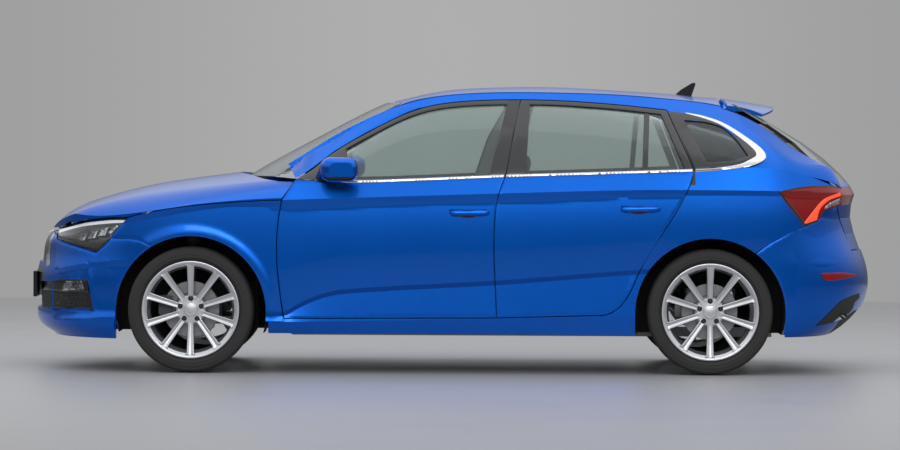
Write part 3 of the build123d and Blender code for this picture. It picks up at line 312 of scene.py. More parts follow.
# %% Cloth and soft trim
cloth = Material("seat_cloth", "seat_cloth", sheen_weight=0.35, sheen_roughness=0.5, ior=1.4)
warp = cloth.node("ShaderNodeTexWave", {"bands_direction": "Y"}, {"Vector": cloth.place, "Scale": 260.0})
weft = cloth.node("ShaderNodeTexWave", {"bands_direction": "Z"}, {"Vector": cloth.place, "Scale": 260.0})
weave = warp * (1 - weft) + weft * (1 - warp)
tone = cloth.noise(30.0, 4.0)
cloth.colour(weave * 0.6 + tone * 0.4, (40, 41, 44), (86, 88, 92))
cloth.set("Roughness", 0.8 + 0.15 * tone)
cloth.bump(weave, 0.0005)

soft = Material("soft_trim", "soft_trim", ior=1.45)
skin = soft.cells(450.0, "DISTANCE_TO_EDGE")
shade = soft.noise(6.0)
soft.colour(shade, (44, 45, 48), (60, 61, 64))
soft.set("Roughness", 0.6 + 0.15 * shade)
soft.bump(soft.between(skin, 0.0, 0.1), 0.0002)

# %% Give every CAD node its finish
PANEL_EDGE, WHEEL_EDGE, TREAD_EDGE = 24.0, 35.0, 30.0    # degrees


def soften(mesh, sharp):
    """Smooth shading, with an edge kept where faces meet at more than `sharp` degrees."""
    mesh.polygons.foreach_set("use_smooth", np.ones(len(mesh.polygons), bool))
    mesh.set_sharp_from_angle(angle=radians(sharp))


finish = {
    "blue_paint": paint, "black_trim": gloss, "grained_plastic": grained, "underbody": under,
    "tinted_glass": clear_glass, "dark_glass": dark_glass, "lamp_glass": lens_glass, "red_lens": red,
    "tyre_rubber": rubber, "wheel_silver": silver, "steel": steel, "cast_metal": casting,
    "seat_cloth": cloth, "soft_trim": soft,
}
for name, node in nodes.items():
    node.data.materials.clear()
    node.data.materials.append(own_paint.get(name, finish[slots[name]]).made)
    soften(node.data, PANEL_EDGE)
print("finishes:", sorted(finish))

# %% [markdown]
# The body skin follows a few lines that run along the car: sill, lower crease, valley, character line
# and belt. Each is a smooth curve through pairs of station and height. The same lines shaped the frame,
# so a skin made from them lies on it, and here it can have creases, arch lips and turned-in edges.

# %% Lines of the body, in millimetres
def along(line, at):
    """Value of a line at stations: a cubic through its pairs, with slopes from their neighbours."""
    at_known, known = np.array(line, float).T
    before, after = np.maximum(np.arange(len(known)) - 1, 0), np.minimum(np.arange(len(known)) + 1,
                                                                         len(known) - 1)
    slope = (known[after] - known[before]) / (at_known[after] - at_known[before])
    at = np.clip(at, at_known[0], at_known[-1])
    i = np.clip(np.searchsorted(at_known, at, "right") - 1, 0, len(known) - 2)
    span = at_known[i + 1] - at_known[i]
    t = (at - at_known[i]) / span
    return ((2 * t**3 - 3 * t**2 + 1) * known[i] + (t**3 - 2 * t**2 + t) * span * slope[i]
            + (3 * t**2 - 2 * t**3) * known[i + 1] + (t**3 - t**2) * span * slope[i + 1])


HALF, FRONT_AXLE, REAR_AXLE, ARCH_Z, ARCH_RADIUS = 896.5, -1328.0, 1321.0, 314.0, 384.0
SILL_LINE = [(-1000, 260), (-262, 274), (247, 283), (755, 297), (1000, 302), (2000, 302)]
LOW_CREASE = [(-1000, 300), (-850, 305), (-770, 348), (-667, 392), (-565, 416), (-262, 438), (247, 468),
              (857, 518), (1100, 535), (2000, 560)]
CHARACTER = [(-2100, 640), (-1850, 735), (-1655, 788), (-1583, 809), (-1380, 845), (-1075, 873), (-770, 887),
             (-262, 905), (501, 931), (1009, 944), (1655, 942), (2060, 930)]
VALLEY = [(-2100, 660), (-1655, 760), (-1177, 842), (-973, 846), (-770, 838), (-262, 864), (501, 886),
          (1009, 912), (1655, 915), (2060, 900)]
BELT = [(-907, 982), (-771, 985), (-481, 978), (-262, 985), (272, 1009), (756, 1026), (1235, 1044),
        (1393, 1055),
        (1600, 1058), (1800, 1025), (2000, 950)]
RAIL_TOP = [(-932, 984), (-881, 1013), (-778, 1082), (-675, 1149), (-470, 1270), (-367, 1327), (-264, 1373),
            (-162, 1405), (-59, 1422), (147, 1439), (456, 1443), (869, 1432), (1281, 1397), (1384, 1378),
            (1459, 1352), (1587, 1283), (1742, 1186), (1896, 1061), (2000, 964)]
RAIL_HALF = [(-932, 722), (-778, 695), (-573, 650), (-367, 608), (-162, 588), (147, 576), (869, 562),
             (1384, 545), (1600, 598), (1800, 640), (2000, 690)]
NOSE = [(170, -2080), (195, -2120), (243, -2170), (300, -2170), (360, -2176), (493, -2176), (530, -2165),
        (578, -2158), (640, -2150), (680, -2135), (700, -2110), (760, -2060), (800, -2010)]
TAIL = [(195, 1990), (225, 2050), (284, 2105), (334, 2139), (374, 2170), (437, 2176), (559, 2173), (596, 2160),
        (648, 2134), (727, 2107), (790, 2092), (852, 2082), (891, 2118), (949, 2097), (1001, 2060)]


def smooth(value, low, high):
    """0 below low, 1 above high, and an S curve between."""
    t = np.clip((value - low) / (high - low), 0, 1)
    return t * t * (3 - 2 * t)


ROUND_FROM = 1100.0           # the body narrows beyond this station, at the nose and at the tail
ROUND_REACH = 1081.0          # and ends this much further
NOSE_HALF, TAIL_HALF = 874.0, 880.0


def nose_round(share):
    """Half width towards the nose, as a share of the full one."""
    return (1 - share**3.2) ** (1 / 2.2)


def tail_round(share):
    """Half width towards the tail, as a share of the full one."""
    return (1 - share**5) ** (1 / 2.4)


def plan(x):
    """Half width at a station as a share of the widest: round at nose and tail."""
    front = nose_round(np.clip((-ROUND_FROM - x) / ROUND_REACH, 0, 0.98))
    back = tail_round(np.clip((x - ROUND_FROM) / ROUND_REACH, 0, 0.98))
    return front * back


FOOT, FOOT_INSET = 204.0, 52.0         # lowest edge of the side, and how far it lies in
BELT_INSET, FULLEST = 46, 17           # how far the belt and the fullest line lie in
LIP = 6


def side_skin(x, z):
    """Half width of the body side: steps between the lines, hollow between crease and character line,
    and a lip that stands out round each wheel arch."""
    crease, valley, line, belt = (along(known, x) for known in (LOW_CREASE, VALLEY, CHARACTER, BELT))
    middle = (crease + valley) / 2
    levels = [FOOT + 0 * x, along(SILL_LINE, x), crease - 12, crease + 12, middle, valley, line, belt]
    insets = [FOOT_INSET, 34, 44, 28, FULLEST, 26, 12, BELT_INSET]
    below = np.full(np.shape(x), FOOT_INSET)
    for low, high, start, end in zip(levels, levels[1:], insets, insets[1:]):
        t = np.clip((z - low) / (high - low), 0, 1)
        share = t**2 if start == FULLEST else 1 - (1 - t) ** 2 if end == FULLEST else t
        below = np.where(z >= low, start + (end - start) * share, below)
    lip = 0
    for axle in (FRONT_AXLE, REAR_AXLE):
        away = np.hypot(x - axle, z - ARCH_Z) - ARCH_RADIUS
        lip = lip + LIP * (1 - smooth(away, 22, 60)) * smooth(z, 230, 420)
    return (HALF - below) * plan(x) + lip


def house(x, z):
    """Half width of the glasshouse, which leans in more and more with height."""
    low, top = along(BELT, x), along(RAIL_TOP, x)
    t = np.clip((z - low) / (top - low), 0.0, 1.0)
    belt = (HALF - BELT_INSET) * plan(x)
    return belt - (belt - along(RAIL_HALF, x)) * t**1.3


def nose_side(x, z):
    """Half width of the nose shell at a station and height."""
    share = np.clip((-ROUND_FROM - x) / (-ROUND_FROM - along(NOSE, z)), 0, 0.995)
    return NOSE_HALF * nose_round(share)


def tail_side(x, z):
    """Half width of the tail shell at a station and height."""
    share = np.clip((x - ROUND_FROM) / (along(TAIL, z) - ROUND_FROM), 0, 0.995)
    return TAIL_HALF * tail_round(share)


print("widest", round(float(side_skin(np.array([-1000.0]), np.array([600.0]))[0]), 1))

# %% [markdown]
# A panel is cut from sheet: its outline in side view is filled with small triangles, each corner is
# laid on the skin, and the rim is turned in. A Delaunay net does the filling. Rows of points just
# inside the rim round its edge, and rows along the creases keep them sharp.

# %% Outlines
def angles(count):
    """Angles in even steps once round."""
    return np.linspace(0, 2 * pi, count, endpoint=False)


def curve(points, step=10.0):
    """Points every `step` along a smooth curve through the given ones."""
    points = np.array(points, float)
    if len(points) == 2:
        count = max(int(np.hypot(*(points[1] - points[0])) / step), 1)
        return points[0] + (points[1] - points[0]) * np.linspace(0, 1, count + 1)[:, None]
    span = np.concatenate([[0], np.cumsum(np.hypot(*np.diff(points, axis=0).T))])
    at = np.linspace(0, span[-1], max(int(span[-1] / step), 2) + 1)
    return np.stack([along(np.stack([span, points[:, i]], 1), at) for i in (0, 1)], 1)


def outline(*runs, step=10.0):
    """A closed outline from runs of points: two points are a straight run, more are a smooth curve."""
    line = np.concatenate([curve(run, step)[:-1] for run in runs])
    area = np.sum(line[:, 0] * np.roll(line[:, 1], -1) - line[:, 1] * np.roll(line[:, 0], -1))
    return line if area > 0 else line[::-1]


def polygon(*points, step=8.0):
    """A closed outline with straight sides."""
    return outline(*[(a, b) for a, b in zip(points, points[1:] + points[:1])], step=step)


def arc(centre, radius, start, end, step=9.0):
    """Points of an arc, from one angle to another in degrees."""
    turn = np.radians(np.linspace(start, end, max(int(abs(radians(end - start)) * radius / step), 3) + 1))
    return np.stack([centre[0] + radius * np.cos(turn), centre[1] + radius * np.sin(turn)], 1)


def drawn_in(line, inset):
    """An outline moved inwards along its normals."""
    along_it = np.roll(line, -1, 0) - np.roll(line, 1, 0)
    along_it /= np.maximum(np.hypot(*along_it.T), 1e-6)[:, None]
    return line + inset * np.stack([-along_it[:, 1], along_it[:, 0]], 1)


def inside(line, spots):
    """Which spots lie in an outline: a ray from each crosses it an odd number of times."""
    a, b = line, np.roll(line, -1, 0)
    crosses = (a[:, 1] > spots[:, 1:2]) != (b[:, 1] > spots[:, 1:2])
    rise = np.where(b[:, 1] == a[:, 1], 1e-9, b[:, 1] - a[:, 1])
    at = a[:, 0] + (spots[:, 1:2] - a[:, 1]) / rise * (b[:, 0] - a[:, 0])
    return (crosses & (spots[:, 0:1] < at)).sum(1) % 2 == 1


# %% Put a mesh together
def piece(name, spots, faces, material, body, sharp=PANEL_EDGE):
    """A mesh object from points in metres, which rides on a body."""
    mesh = bpy.data.meshes.new(name)
    mesh.from_pydata(np.asarray(spots).tolist(), [], [list(face) for face in faces])
    mesh.materials.append(material.made)
    soften(mesh, sharp)
    made = bpy.data.objects.new(name, mesh)
    bpy.context.scene.collection.objects.link(made)
    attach(made, body)
    return made


def cut_out(line, holes, spots):
    """Which spots lie in an outline and in none of its holes."""
    kept = inside(line, spots)
    for hole in holes:
        kept &= ~inside(hole, spots)
    return kept


def nearest(spots, others):
    """Distance of each spot from the nearest of the others."""
    return np.sqrt(((spots[:, None] - others[None]) ** 2).sum(2)).min(1)


ROUND_OFF = 1.0               # how far the rim of a panel sits under its skin
RING = 3.0                    # distance of the rim's inner row of points


def panel(name, line, skin, material, body="body", sides=(-1, 1), cell=14.0, holes=(), lift=1.0,
          flange=10.0, creases=()):
    """A panel with turned-in rims, on one side of the car or on both, as one object.
    Its points are (x, side * (skin + lift), z). `creases` are lines, each with its shift in height."""
    rims = [line] + [hole[::-1] for hole in holes]
    rings = [drawn_in(rim, RING) for rim in rims]
    low, high = line.min(0), line.max(0)
    stations, heights = (np.arange(low[i], high[i], cell) for i in (0, 1))
    grid = np.stack(np.meshgrid(stations, heights), -1).reshape(-1, 2)
    extra = [np.stack([stations, along(known, stations) + shift], 1) for known, shift in creases]
    kept = []
    border = np.concatenate(rims)
    layers = [(np.concatenate(extra), 5.0)] if extra else []
    for spots, room in layers + [(grid, 0.55 * cell + RING)]:
        spots = spots[cut_out(line, holes, spots)]
        spots = spots[nearest(spots, border) > room]
        if kept:
            spots = spots[nearest(spots, kept[0]) > 0.45 * cell]
        kept.append(spots)
    flat = np.concatenate(rims + rings + kept)
    edges, first = [], 0
    for rim in rims:
        edges += [(first + i, first + (i + 1) % len(rim)) for i in range(len(rim))]
        first += len(rim)
    found, _, faces, origins, _, _ = delaunay_2d_cdt([Vector(p) for p in flat], edges, [], 1, 1e-4)
    flat = np.array([tuple(p) for p in found])
    faces = np.array([face for face in faces if len(face) == 3])
    faces = faces[cut_out(line, holes, flat[faces].mean(1))]
    source = np.array([min(origin) if origin else len(flat) for origin in origins])
    depth = np.where(source < first, ROUND_OFF, 0.0)
    x, z = flat.T
    width = skin(x, z) + lift - depth
    a, b, c = (flat[faces[:, i]] for i in range(3))
    turn = (b[:, 0] - a[:, 0]) * (c[:, 1] - a[:, 1]) - (b[:, 1] - a[:, 1]) * (c[:, 0] - a[:, 0])
    faces[turn < 0] = faces[turn < 0][:, ::-1]
    sides_of_faces = dict.fromkeys((p, q) for face in faces.tolist() for p, q in zip(face, face[1:] + face[:1]))
    rim_edges = [(p, q) for p, q in sides_of_faces if (q, p) not in sides_of_faces]
    spots, turned = [], []
    for side in sides:
        start = sum(len(part) for part in spots)
        top = np.stack([x, side * width, z], 1)
        under = np.stack([x, side * (width - flange), z], 1)
        spots += [top, under]
        skins = faces if side < 0 else faces[:, ::-1]
        turned += (skins + start).tolist()
        if flange:
            for p, q in rim_edges:
                quad = [start + p, start + p + len(x), start + q + len(x), start + q]
                turned.append(quad if side < 0 else quad[::-1])
    spots = np.concatenate(spots) / MM
    used = np.unique(np.concatenate([np.array(face) for face in turned]))
    place = np.full(len(spots), -1)
    place[used] = np.arange(len(used))
    turned = [[int(place[i]) for i in face] for face in turned]
    return piece(name, spots[used], turned, material, body)


# %% The surface of a CAD node as a skin
def surface_of(*names):
    """How far out the named CAD nodes reach at a station and height, seen from the side."""
    spots, faces = [], []
    for name in names:
        mesh = nodes[name].data
        faces += [[i + len(spots) for i in face.vertices] for face in mesh.polygons]
        spots += [v.co.copy() for v in mesh.vertices]
    tree = BVHTree.FromPolygons(spots, faces)

    def skin(x, z):
        """Half-width in millimetres; where nothing is hit, the nearest place counts."""
        found = []
        for at, height in np.stack([np.ravel(x), np.ravel(z)], 1) / MM:
            hit = tree.ray_cast(Vector((at, -1.5, height)), Vector((0, 1, 0)))[0]
            if hit is None or hit.y > -0.2:
                hit = tree.find_nearest(Vector((at, -0.7, height)))[0]
            found.append(-MM * hit.y)
        return np.reshape(found, np.shape(x))

    return skin


# %% [markdown]
# Doors. The outer skin of each door ends at the belt. Above it the frame round the glass is black, and
# that is a second panel with the window as its hole. The hinge, inner body and glass run stay as the
# frame has them.

# %% Door outlines
FRONT_DOOR = ([(-796, 991), (-725, 1035), (-623, 1114), (-418, 1237), (-264, 1315), (-161, 1354), (-59, 1377),
               (100, 1394), (249, 1400), (352, 1401)],
              [(352, 1401), (311, 1206), (272, 1011), (241, 925), (219, 780), (216, 635), (222, 480),
               (231, 288)], [(231, 288), (-852, 280)],
              [(-852, 280), (-877, 451), (-890, 600), (-884, 760), (-864, 886)], [(-864, 886), (-796, 991)])
REAR_DOOR = ([(352, 1401), (560, 1397), (860, 1377), (1103, 1352)], [(1103, 1352), (1235, 1042)],
             [(1235, 1042), (1200, 940), (1085, 741), (958, 527), (892, 388), (830, 325), (740, 303)],
             [(740, 303), (231, 288)],
             [(231, 288), (222, 480), (216, 635), (219, 780), (241, 925), (272, 1011), (311, 1206),
              (352, 1401)])
FRONT_WINDOW = outline([(-540, 1146), (-418, 1213), (-264, 1291), (-161, 1330), (-59, 1353), (100, 1370),
                        (283, 1377)],
                       [(283, 1377), (190, 1012)], [(190, 1012), (-262, 992), (-540, 986)],
                       [(-540, 986), (-540, 1146)])
REAR_WINDOW = outline([(400, 1377), (560, 1374), (860, 1354), (1072, 1331)], [(1072, 1331), (1190, 1052)],
                      [(1190, 1052), (376, 1020)], [(376, 1020), (400, 1377)])
QUARTER_GLASS = outline([(1190, 1301), (1300, 1292), (1400, 1258), (1460, 1196), (1512, 1122)],
                        [(1512, 1122), (1453, 1098), (1299, 1084)], [(1299, 1084), (1190, 1301)])
LINES = [(LOW_CREASE, -12), (LOW_CREASE, 12), (CHARACTER, 0), (SILL_LINE, 0)]


def split_at_belt(line, upper):
    """The part of an outline above or below the belt, with the belt as its new side."""
    gap = 1.0 if upper else -1.0
    belt = along(BELT, line[:, 0]) + gap
    keep = line[:, 1] > belt if upper else line[:, 1] < belt
    turn = np.flatnonzero(keep & ~np.roll(keep, 1))[0]
    kept = np.roll(line, -turn, 0)[: keep.sum()]
    across = np.linspace(kept[-1, 0], kept[0, 0], 60)
    closing = np.stack([across, along(BELT, across) + gap], 1)
    return np.concatenate([kept, closing])


# %% Door skins and frames
for stem, runs, window in (("front", FRONT_DOOR, FRONT_WINDOW), ("rear", REAR_DOOR, REAR_WINDOW)):
    whole = drawn_in(outline(*runs), 2.5)
    for name, side in SIDES:
        body = f"{stem}_{name}_door"
        panel(f"{body}_skin", split_at_belt(whole, False), side_skin, paint, body, (side,), creases=LINES)
        panel(f"{body}_window_frame", split_at_belt(whole, True), house, gloss, body, (side,), holes=(window,),
              lift=3.5, flange=6.0)

# %% Fenders and rear bumper sides
fender = outline([(x, float(along(CHARACTER, x)) - 2.5)
                  for x in (-1650, -1583, -1480, -1380, -1230, -1075, -970, -869)],
                 [(-869, 879), (-887, 760), (-893, 600), (-880, 451), (-855, 264)],
                 [(-855, 264), (-947, 264)], arc((FRONT_AXLE, ARCH_Z), ARCH_RADIUS, -7, 121),
                 [(-1526, 643), (-1587, 675), (-1663, 684), (-1740, 689)], [(-1740, 689), (-1650, 785)])
panel("front_fender_skins", fender, side_skin, paint, creases=[(CHARACTER, -12), (VALLEY, 0)])


def bumper_side(x, z):
    """The tail shell, which its skin leaves towards the back so that the two merge."""
    return tail_side(x, z) - 2.0 * smooth(x, 1850, 1990)


bumper = outline(arc((REAR_AXLE, ARCH_Z), ARCH_RADIUS, -16, 53),
                 [(1552, 621), (1622, 671), (1673, 699), (1724, 730), (1800, 760), (1877, 796)],
                 [(1877, 796), (1902, 836)], [(1902, 836), (1990, 866)], [(1990, 866), (1990, 260)],
                 [(1990, 260), (1950, 206)], [(1950, 206), (1690, 208)])
panel("rear_bumper_sides", bumper, bumper_side, paint, flange=4.0, cell=12.0)
print("fender and bumper skins made")

# %% Front bumper skin
ridge = [(-2200, 497), (-2085, 510), (-1871, 553), (-1760, 566)]
lip = [(-2200, 256), (-2136, 262), (-1825, 302), (-1700, 310)]
bumper_front = surface_of("front_bumper")


def bumper_form(x, z):
    """The bumper with its two creases: a ridge under the lamp and a lip along the bottom."""
    over = z - along(ridge, x)
    raised = 15 * np.where(over > 0, np.clip(1 - over / 130, 0, 1), np.clip(1 + over / 26, 0, 1))
    fade = smooth(-x, 1600, 1800)
    under = along(lip, x) - z
    drawn = 13 * np.where(under > 0, np.clip(under / 26, 0, 1) * np.clip(1.3 - under / 200, 0, 1), 0)
    wing = 7 * np.exp(-(((x + 1846 + 0.12 * (z - 400)) / 14) ** 2)) * (np.abs(z - 410) < 140)
    return bumper_front(x, z) + (raised + drawn) * fade + wing


nose = outline([(-2040, 660), (-1818, 603)], [(-1818, 603), (-1757, 655), (-1738, 682)],
               [(-1738, 682), (-1663, 680), (-1587, 670), (-1528, 640)],
               arc((FRONT_AXLE, ARCH_Z), ARCH_RADIUS, 122, 196), [(-1722, 214), (-1900, 214), (-2030, 236)],
               [(-2030, 236), (-2056, 262)], [(-2056, 262), (-2040, 660)])
opening = polygon((-2046, 310), (-1838, 306), (-1860, 468), (-2006, 468), (-2045, 457))
panel("front_bumper_skins", nose, bumper_form, paint, holes=(opening,), lift=2.5, flange=9.0, cell=12.0,
      creases=[(ridge, 0), (ridge, -26), (lip, 0), (lip, -26)])

# %% Windscreen pillars
PILLAR_TOP = [(-838, 1067), (-777, 1105), (-603, 1213), (-444, 1296), (-320, 1350), (-230, 1378)]
DOOR_TOP = [(-796, 994), (-725, 1038), (-623, 1117), (-418, 1240), (-264, 1318), (-161, 1357)]


def pillar_side(x, z):
    """The glasshouse side, which turns in towards the windscreen above the door's edge."""
    above = np.clip((z - along(DOOR_TOP, x)) / 110, 0, 1)
    return house(x, z) - 38 * above**2


pillar = outline(PILLAR_TOP, [(-230, 1378), (-161, 1358)], [(x, z + 2) for x, z in DOOR_TOP[::-1]],
                 [(-796, 996), (-838, 1067)])
panel("windscreen_pillars", pillar, pillar_side, paint, lift=1.5, flange=14.0)

# %% [markdown]
# Bright and black trim lies on the glasshouse: a strip along the belt that turns up round the small
# rear window and widens at its corner, a black field round that window, and a bar in the rear door's
# glass. Each is a narrow panel on the same surface as the doors.

# %% Trim round the glass
def belt_strip(first, last, low=-4.5, high=8.5):
    """A strip along the belt from one station to another, between two heights over it."""
    at = np.linspace(first, last, 50)
    lower, upper = (np.stack([at, along(BELT, at) + height], 1) for height in (low, high))
    return np.concatenate([lower, upper[::-1]])


for stem, first, last in (("front", -560, 266), ("rear", 276, 1226)):
    for name, side in SIDES:
        panel(f"{stem}_{name}_belt_strip", belt_strip(first, last), house, chrome, f"{stem}_{name}_door",
              (side,), lift=5.5, flange=5.0, cell=9.0)
sweep = [(1240, 1036), (1360, 1046), (1481, 1060), (1564, 1084), (1602, 1112), (1592, 1146), (1530, 1200),
         (1400, 1284), (1296, 1322), (1200, 1340)]
inner = [(1200, 1336), (1290, 1312), (1386, 1274), (1500, 1192), (1550, 1142), (1552, 1122), (1520, 1102),
         (1470, 1079), (1360, 1059), (1240, 1049)]
panel("quarter_strips", outline(sweep, [(1200, 1340), (1200, 1336)], inner, [(1240, 1049), (1240, 1036)]),
      house, chrome, lift=5.5, flange=5.0, cell=9.0)
field = outline(inner[::-1], [(1200, 1336), (1112, 1348)], [(1112, 1348), (1243, 1046)])
panel("quarter_window_fields", field, house, gloss, holes=(QUARTER_GLASS,), lift=3.5, flange=6.0)
for name, side in SIDES:
    panel(f"rear_{name}_glass_bar", polygon((986, 1343), (969, 1040), (997, 1041), (1014, 1339), step=10.0),
          house, gloss, f"rear_{name}_door", (side,), lift=-3.0, flange=4.0, cell=9.0)
print("trim done")

# %% [markdown]
# Wheels turn about an axle, so most of a wheel is a profile spun round it. The tread is the same
# surface with grooves taken out of its radius: four run round and fine ones run across the shoulders.
# The rim has ten spokes, each a rounded section carried outwards, a dished hub with five bolts, and a
# plain cap. The brake disc shows between the spokes.

# %% Surfaces from grids
def shell(name, grids, material, body, rows_close=True, sharp=WHEEL_EDGE):
    """One mesh from grids of points, each an array of rows by columns by 3. Columns close round, and so do
    rows, or else a face closes each end."""
    spots, faces, first = [], [], 0
    for grid in grids:
        rows, columns = grid.shape[:2]
        i = np.arange(rows if rows_close else rows - 1)
        j = np.arange(columns)
        a = (i[:, None] * columns + j[None]).ravel()
        b = (i[:, None] * columns + (j[None] + 1) % columns).ravel()
        c = (((i[:, None] + 1) % rows) * columns + (j[None] + 1) % columns).ravel()
        d = (((i[:, None] + 1) % rows) * columns + j[None]).ravel()
        faces.append(np.stack([a, b, c, d], 1) + first)
        spots.append(grid.reshape(-1, 3))
        if not rows_close:
            for end in (0, rows - 1):
                faces.append([first + end * columns + np.arange(columns)])
        first += rows * columns
    flat = [[int(k) for k in face] for group in faces for face in group]
    made = piece(name, np.concatenate(spots) / MM, flat, material, body, sharp)
    net = bmesh.new()
    net.from_mesh(made.data)
    bmesh.ops.remove_doubles(net, verts=net.verts, dist=1e-6)
    bmesh.ops.recalc_face_normals(net, faces=net.faces)
    net.to_mesh(made.data)
    net.free()
    soften(made.data, sharp)
    return made


def from_centre(x, out, z, centre, side):
    """Points of a wheel from their distances behind, outboard of and above its centre."""
    return np.stack([centre[0] + x, centre[1] + side * out, centre[2] + z], -1)


def on_axle(radius, out, angle, centre, side):
    """Points of a wheel from their radius, their distance outboard and their angle round the axle."""
    return from_centre(radius * np.cos(angle), out + 0 * angle, radius * np.sin(angle), centre, side)


def spun(profile, centre, side, count=96):
    """A closed profile of (radius, distance outboard) spun round the axle."""
    radius, out = np.array(profile, float).T
    angle = angles(count)[:, None]
    return on_axle(radius[None] + 0 * angle, out[None] + 0 * angle, angle + 0 * radius[None], centre, side)


TREAD = np.linspace(-80, 80, 65)
GROOVE, CUT = 6.0, 3.5        # depth of the grooves that run round and of those across
OUTSIDE = [(230, -86), (249, -87.5), (256, -95), (266, -104), (268, -105), (270, -104.6), (284, -105.6),
           (286, -106), (288, -105.4), (300, -103.6), (304, -103.6), (308, -101), (314, -96), (318, -89)]
INSIDE = [(304, 60), (302, 84), (288, 92), (262, 94), (250, 76), (231, 74)]


def tyre(name, centre, side, body):
    """A tyre: side walls with raised rings, and a tread whose radius drops in its grooves."""
    wall = np.array(OUTSIDE, float)
    crown = np.stack([321.5 - 0.00045 * np.abs(TREAD) ** 2, TREAD], 1)
    other = wall[::-1] * (1, -1)
    within = np.array(INSIDE, float)
    closing = np.concatenate([within[::-1], within * (1, -1)])
    profile = np.concatenate([wall, crown, other, closing])
    angle = angles(360)[:, None]
    radius, out = profile[None, :, 0] + 0 * angle, profile[None, :, 1] + 0 * angle
    tread = (radius > 317.5) & (np.abs(out) < 81)
    rings = sum((np.abs(np.abs(out) - at) < 3.6) for at in (20, 49)) > 0
    slant = angle * 72 + out * 0.03
    cross = (np.sin(slant) > 0.72) & (np.abs(out) > 54)
    fine = (np.sin(slant + 1.5) > 0.86) & (np.abs(out) < 46) & (np.abs(out) > 23)
    radius = radius - np.where(tread & rings, GROOVE, 0) - np.where(tread & ~rings & (cross | fine), CUT, 0)
    return shell(name, [on_axle(radius, out, angle + 0 * radius, centre, side)], rubber, body, sharp=TREAD_EDGE)


BARREL = [(248, 96), (248, 88), (230, 87), (229, 62), (216, 40), (216, -60), (229, -72), (229, -87), (248, -88),
          (248, -96), (224, -96), (223, -74), (211, -62), (211, 42), (222, 60), (223, 84), (234, 94), (238, 96),
          (241, 97), (245, 97.5)]
HUB = [(20, 30), (20, 66), (34, 66.5), (36, 64), (44, 63), (66, 62.5), (72, 58), (73, 44), (60, 40), (40, 34)]
HALF_SECTION = [(0.3, 0.62), (0.62, 0.9), (0.74, 1), (0.86, 0.94), (0.97, 0.62), (1, 0.1), (0.94, -1)]
SECTION = np.array([(-x, z) for x, z in HALF_SECTION[::-1]] + [(0, 0.55)] + HALF_SECTION)


def spoke(angle, centre, side):
    """A spoke: its section widens from 14.5 to 20 mm each side on its way out, and more at its two ends,
    and its face rises by 31 mm."""
    t = np.linspace(0, 1, 26)[:, None]
    reach = 50 + 180 * t
    wide = 14.5 + 5.5 * t**1.3 + 9 * smooth(t, 0.93, 1.02) + 3.5 * (1 - smooth(t, 0.0, 0.15))
    height = 53 + 31 * t**1.4
    thick = 11 + 2 * t
    across, out = SECTION[None, :, 0] * wide, height + SECTION[None, :, 1] * thick
    x, z = reach * cos(angle) - across * sin(angle), reach * sin(angle) + across * cos(angle)
    return from_centre(x, out, z, centre, side)


BOLT_CIRCLE = 56.0            # radius on which the five bolts stand


def bolt(angle, centre, side):
    """A wheel bolt in its seat: a ring, a hexagon and its domed end, as one spun profile."""
    rings = np.array([(13, 60), (13, 65.4), (11.6, 66.2), (10.4, 65.6), (10, 63.4), (8.2, 63.4), (8, 69),
                      (6.6, 70.6), (3, 71.2), (0.2, 71.3), (0.1, 60)])
    turn = angles(24)[:, None]
    nut = np.where((rings[None, :, 0] < 9) & (rings[None, :, 0] > 5), 1 + 0.05 * np.cos(6 * turn), 1.0)
    radius = rings[None, :, 0] * nut
    x, z = BOLT_CIRCLE * cos(angle) + radius * np.cos(turn), BOLT_CIRCLE * sin(angle) + radius * np.sin(turn)
    return from_centre(x, rings[None, :, 1] + 0 * x, z, centre, side)


# %% Four wheels
DISC = [(42, -18), (142, -18), (144, -16), (144, 4), (142, 6), (86, 6), (82, 10), (80, 40), (76, 44), (42, 44)]
CAP = [(0.3, 60), (32, 60), (33, 66), (32, 69), (28, 70), (26.5, 69), (24, 69.6), (12, 71.6), (0.3, 72.2)]
WHEEL_Z, FRONT_Y, REAR_Y = 322.0, 765, 758
SPOKES, BOLTS = 10, 5
for stem, x, y in (("front_left", FRONT_AXLE, -FRONT_Y), ("front_right", FRONT_AXLE, FRONT_Y),
                   ("rear_left", REAR_AXLE, -REAR_Y), ("rear_right", REAR_AXLE, REAR_Y)):
    centre, side, body = (x, y, WHEEL_Z), (1 if y > 0 else -1), f"{stem}_wheel"
    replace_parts(tyre(f"{stem}_tyre_tread", centre, side, body), f"{stem}_tyre")
    turns = [radians(90 + 360 / SPOKES * k) for k in range(SPOKES)]
    rim = shell(f"{stem}_wheel_barrel", [spun(BARREL, centre, side), spun(HUB, centre, side)], silver, body)
    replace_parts(rim, f"{stem}_rim")
    shell(f"{stem}_spokes", [spoke(turn, centre, side) for turn in turns], silver, body, rows_close=False)
    shell(f"{stem}_wheel_cap", [spun(CAP, centre, side, 64)], silver, body)
    shell(f"{stem}_brake_disc", [spun(DISC, centre, side)], steel, body)
    shell(f"{stem}_bolts", [bolt(radians(90 + 360 / BOLTS * k), centre, side) for k in range(BOLTS)], gloss,
          body)
print("wheels made")

# %% [markdown]
# Lamps. A headlamp is a deep dark bowl behind a clear cover: along its top runs a white light guide,
# and in the bowl stand bright reflector blocks. The cover and bowl follow the nose, at their own depths.

